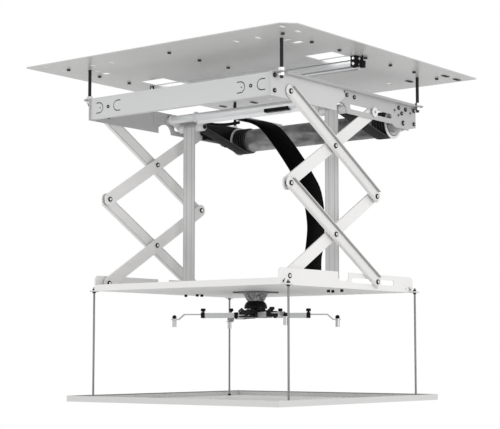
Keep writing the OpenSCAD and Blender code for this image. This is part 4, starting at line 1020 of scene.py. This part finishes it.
# %% Bracket fittings
ARMS = {"right": (35, 0.199), "near": (-35, 0.228), "left": (215, 0.199), "far": (145, 0.228)}
CLAMP_START = 0.124
CLAMP_LENGTH = 0.009
SHOULDER_START = 0.043
KNOB_RISE = 0.0236
for arm, (degrees, reach) in ARMS.items():
    arm_low, arm_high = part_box("reach_" + arm)
    top = arm_high.z
    maker = bmesh.new()
    add_block(maker, (CLAMP_START - 0.0004, -0.0135, top - 0.0134),
              (CLAMP_START + CLAMP_LENGTH + 0.0004, 0.0135, top + 0.0004), 0.0012)
    add_block(maker, (SHOULDER_START, -0.0135, top - 0.0134), (SHOULDER_START + CLAMP_LENGTH, 0.0135, top + 0.0004),
              0.0012)
    for place, radius in ((CLAMP_START + CLAMP_LENGTH / 2, 0.0060), (0.06, 0.0054)):
        add_disc(maker, (place, 0, top), (0, 0, 1), radius * 0.45, 0.0032, 0, 16)
        add_disc(maker, (place, 0, top + 0.0028), (0, 0, 1), radius, 0.0072, 0.0012, 14)
    turn_about_z(maker, degrees)
    finish_piece(maker, "clamp_" + arm, black_plastic, "arm_" + arm)
    knob_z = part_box("foot_" + arm)[0].z + KNOB_RISE
    maker = bmesh.new()
    bmesh.ops.create_uvsphere(maker, u_segments=20, v_segments=12, radius=0.0055,
                              matrix=Matrix.Translation((reach, 0, knob_z)))
    add_disc(maker, (reach, 0, knob_z + 0.0038), (0, 0, 1), 0.0022, 0.0016, 0.0004, 16)
    add_disc(maker, (reach, 0, knob_z - 0.0058), (0, 0, 1), 0.0034, 0.0022, 0.0004, 16)
    turn_about_z(maker, degrees)
    finish_piece(maker, "knob_" + arm, black_plastic, "foot_bar_" + arm)

cover_low, cover_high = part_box("ball_cover")
DOME = ((0.010, 1.0), (0.0180, 1.0), (0.0218, 0.88), (0.0248, 0.70), (0.0270, 0.47), (0.0282, 0.22),
        (0.0284, 0.06), (0.0278, 0.0), (0.0145, 0.0), (0.0135, 0.1))
maker = bmesh.new()
height = cover_high.z - cover_low.z
dome = [maker.verts.new((radius, 0, cover_low.z + share * height)) for radius, share in DOME]
rim = [maker.edges.new((dome[i], dome[i - 1])) for i in range(len(dome))]
bmesh.ops.spin(maker, geom=dome + rim, cent=(0, 0, 0), axis=(0, 0, 1), angle=2 * math.pi, steps=48,
               use_merge=True)
for face in maker.faces:
    face.smooth = True
cover = finish_piece(maker, "ball_dome", black_coat, "bracket_collar")
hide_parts("ball_cover")

maker = bmesh.new()
HUB_TOP = cover_low.z - 0.004
HUB_RING = 0.0345
for degrees, reach in ARMS.values():
    angle = math.radians(degrees)
    place = (HUB_RING * math.cos(angle), HUB_RING * math.sin(angle), HUB_TOP)
    add_disc(maker, place, (0, 0, 1), 0.0054, 0.0034, 0.0005, 6)
    add_disc(maker, place, (0, 0, 1), 0.0022, 0.0058, 0.0003, 16)
finish_piece(maker, "hub_nuts", pin_metal, "hub")
print("four arms dressed, dome", round(height, 4), "m high")

# %% [markdown]
# ## Light and ground
# Soft studio light: a bright, even surround and two large lamps in front, left and right. The surround
# is white where the camera looks past the lift, and dimmer as a light source.

# %% Light and ground
SURROUND = 0.77


def surround_light():
    world = bpy.data.worlds.new("surround")
    bpy.context.scene.world = world
    world.use_nodes = True
    tree = world.node_tree
    tree.nodes.clear()
    path = tree.nodes.new("ShaderNodeLightPath")
    seen = tree.nodes.new("ShaderNodeMath")
    seen.operation = "MAXIMUM"
    tree.links.new(path.outputs["Is Camera Ray"], seen.inputs[0])
    tree.links.new(path.outputs["Is Transmission Ray"], seen.inputs[1])
    shiny = tree.nodes.new("ShaderNodeMath")
    shiny.operation = "MAXIMUM"
    tree.links.new(seen.outputs[0], shiny.inputs[0])
    tree.links.new(path.outputs["Is Glossy Ray"], shiny.inputs[1])
    strength = tree.nodes.new("ShaderNodeMapRange")
    strength.inputs["To Min"].default_value = SURROUND
    strength.inputs["To Max"].default_value = 1.0
    tree.links.new(shiny.outputs[0], strength.inputs[0])
    background = tree.nodes.new("ShaderNodeBackground")
    background.inputs["Color"].default_value = (1, 1, 1, 1)
    tree.links.new(strength.outputs[0], background.inputs["Strength"])
    output = tree.nodes.new("ShaderNodeOutputWorld")
    tree.links.new(background.outputs[0], output.inputs["Surface"])


def soft_lamp(name, place, target, size, power):
    lamp = bpy.data.lights.new(name, "AREA")
    lamp.shape = "SQUARE"
    lamp.size = size
    lamp.energy = power
    holder = bpy.data.objects.new(name, lamp)
    holder.location = place
    direction = Vector(target) - Vector(place)
    holder.rotation_euler = direction.to_track_quat("-Z", "Y").to_euler()
    bpy.context.scene.collection.objects.link(holder)


surround_light()
LIFT_MIDDLE = (0, 0, -0.4)
soft_lamp("key lamp", (-1.6, -3.2, 0.4), LIFT_MIDDLE, 2.2, 18)
soft_lamp("fill lamp", (3.2, -0.6, -0.45), LIFT_MIDDLE, 2.2, 33)
soft_lamp("low lamp", (0.6, -2.2, -2.0), LIFT_MIDDLE, 2.0, 9)

FLOOR_HALF = 16
FLOOR_HEIGHT = -4.0
maker = bmesh.new()
bmesh.ops.create_grid(maker, x_segments=1, y_segments=1, size=FLOOR_HALF, matrix=Matrix.Translation((0, 0, FLOOR_HEIGHT)))
floor_mesh = bpy.data.meshes.new("floor")
maker.to_mesh(floor_mesh)
maker.free()
floor = bpy.data.objects.new("floor", floor_mesh)
floor_finish = Finish("floor", 0.9)
floor_finish.colour((0.86, 0.86, 0.86, 1))
floor_mesh.materials.append(floor_finish.material)
bpy.context.scene.collection.objects.link(floor)
bpy.context.scene.view_settings.view_transform = "Standard"
print("three lamps and a floor")
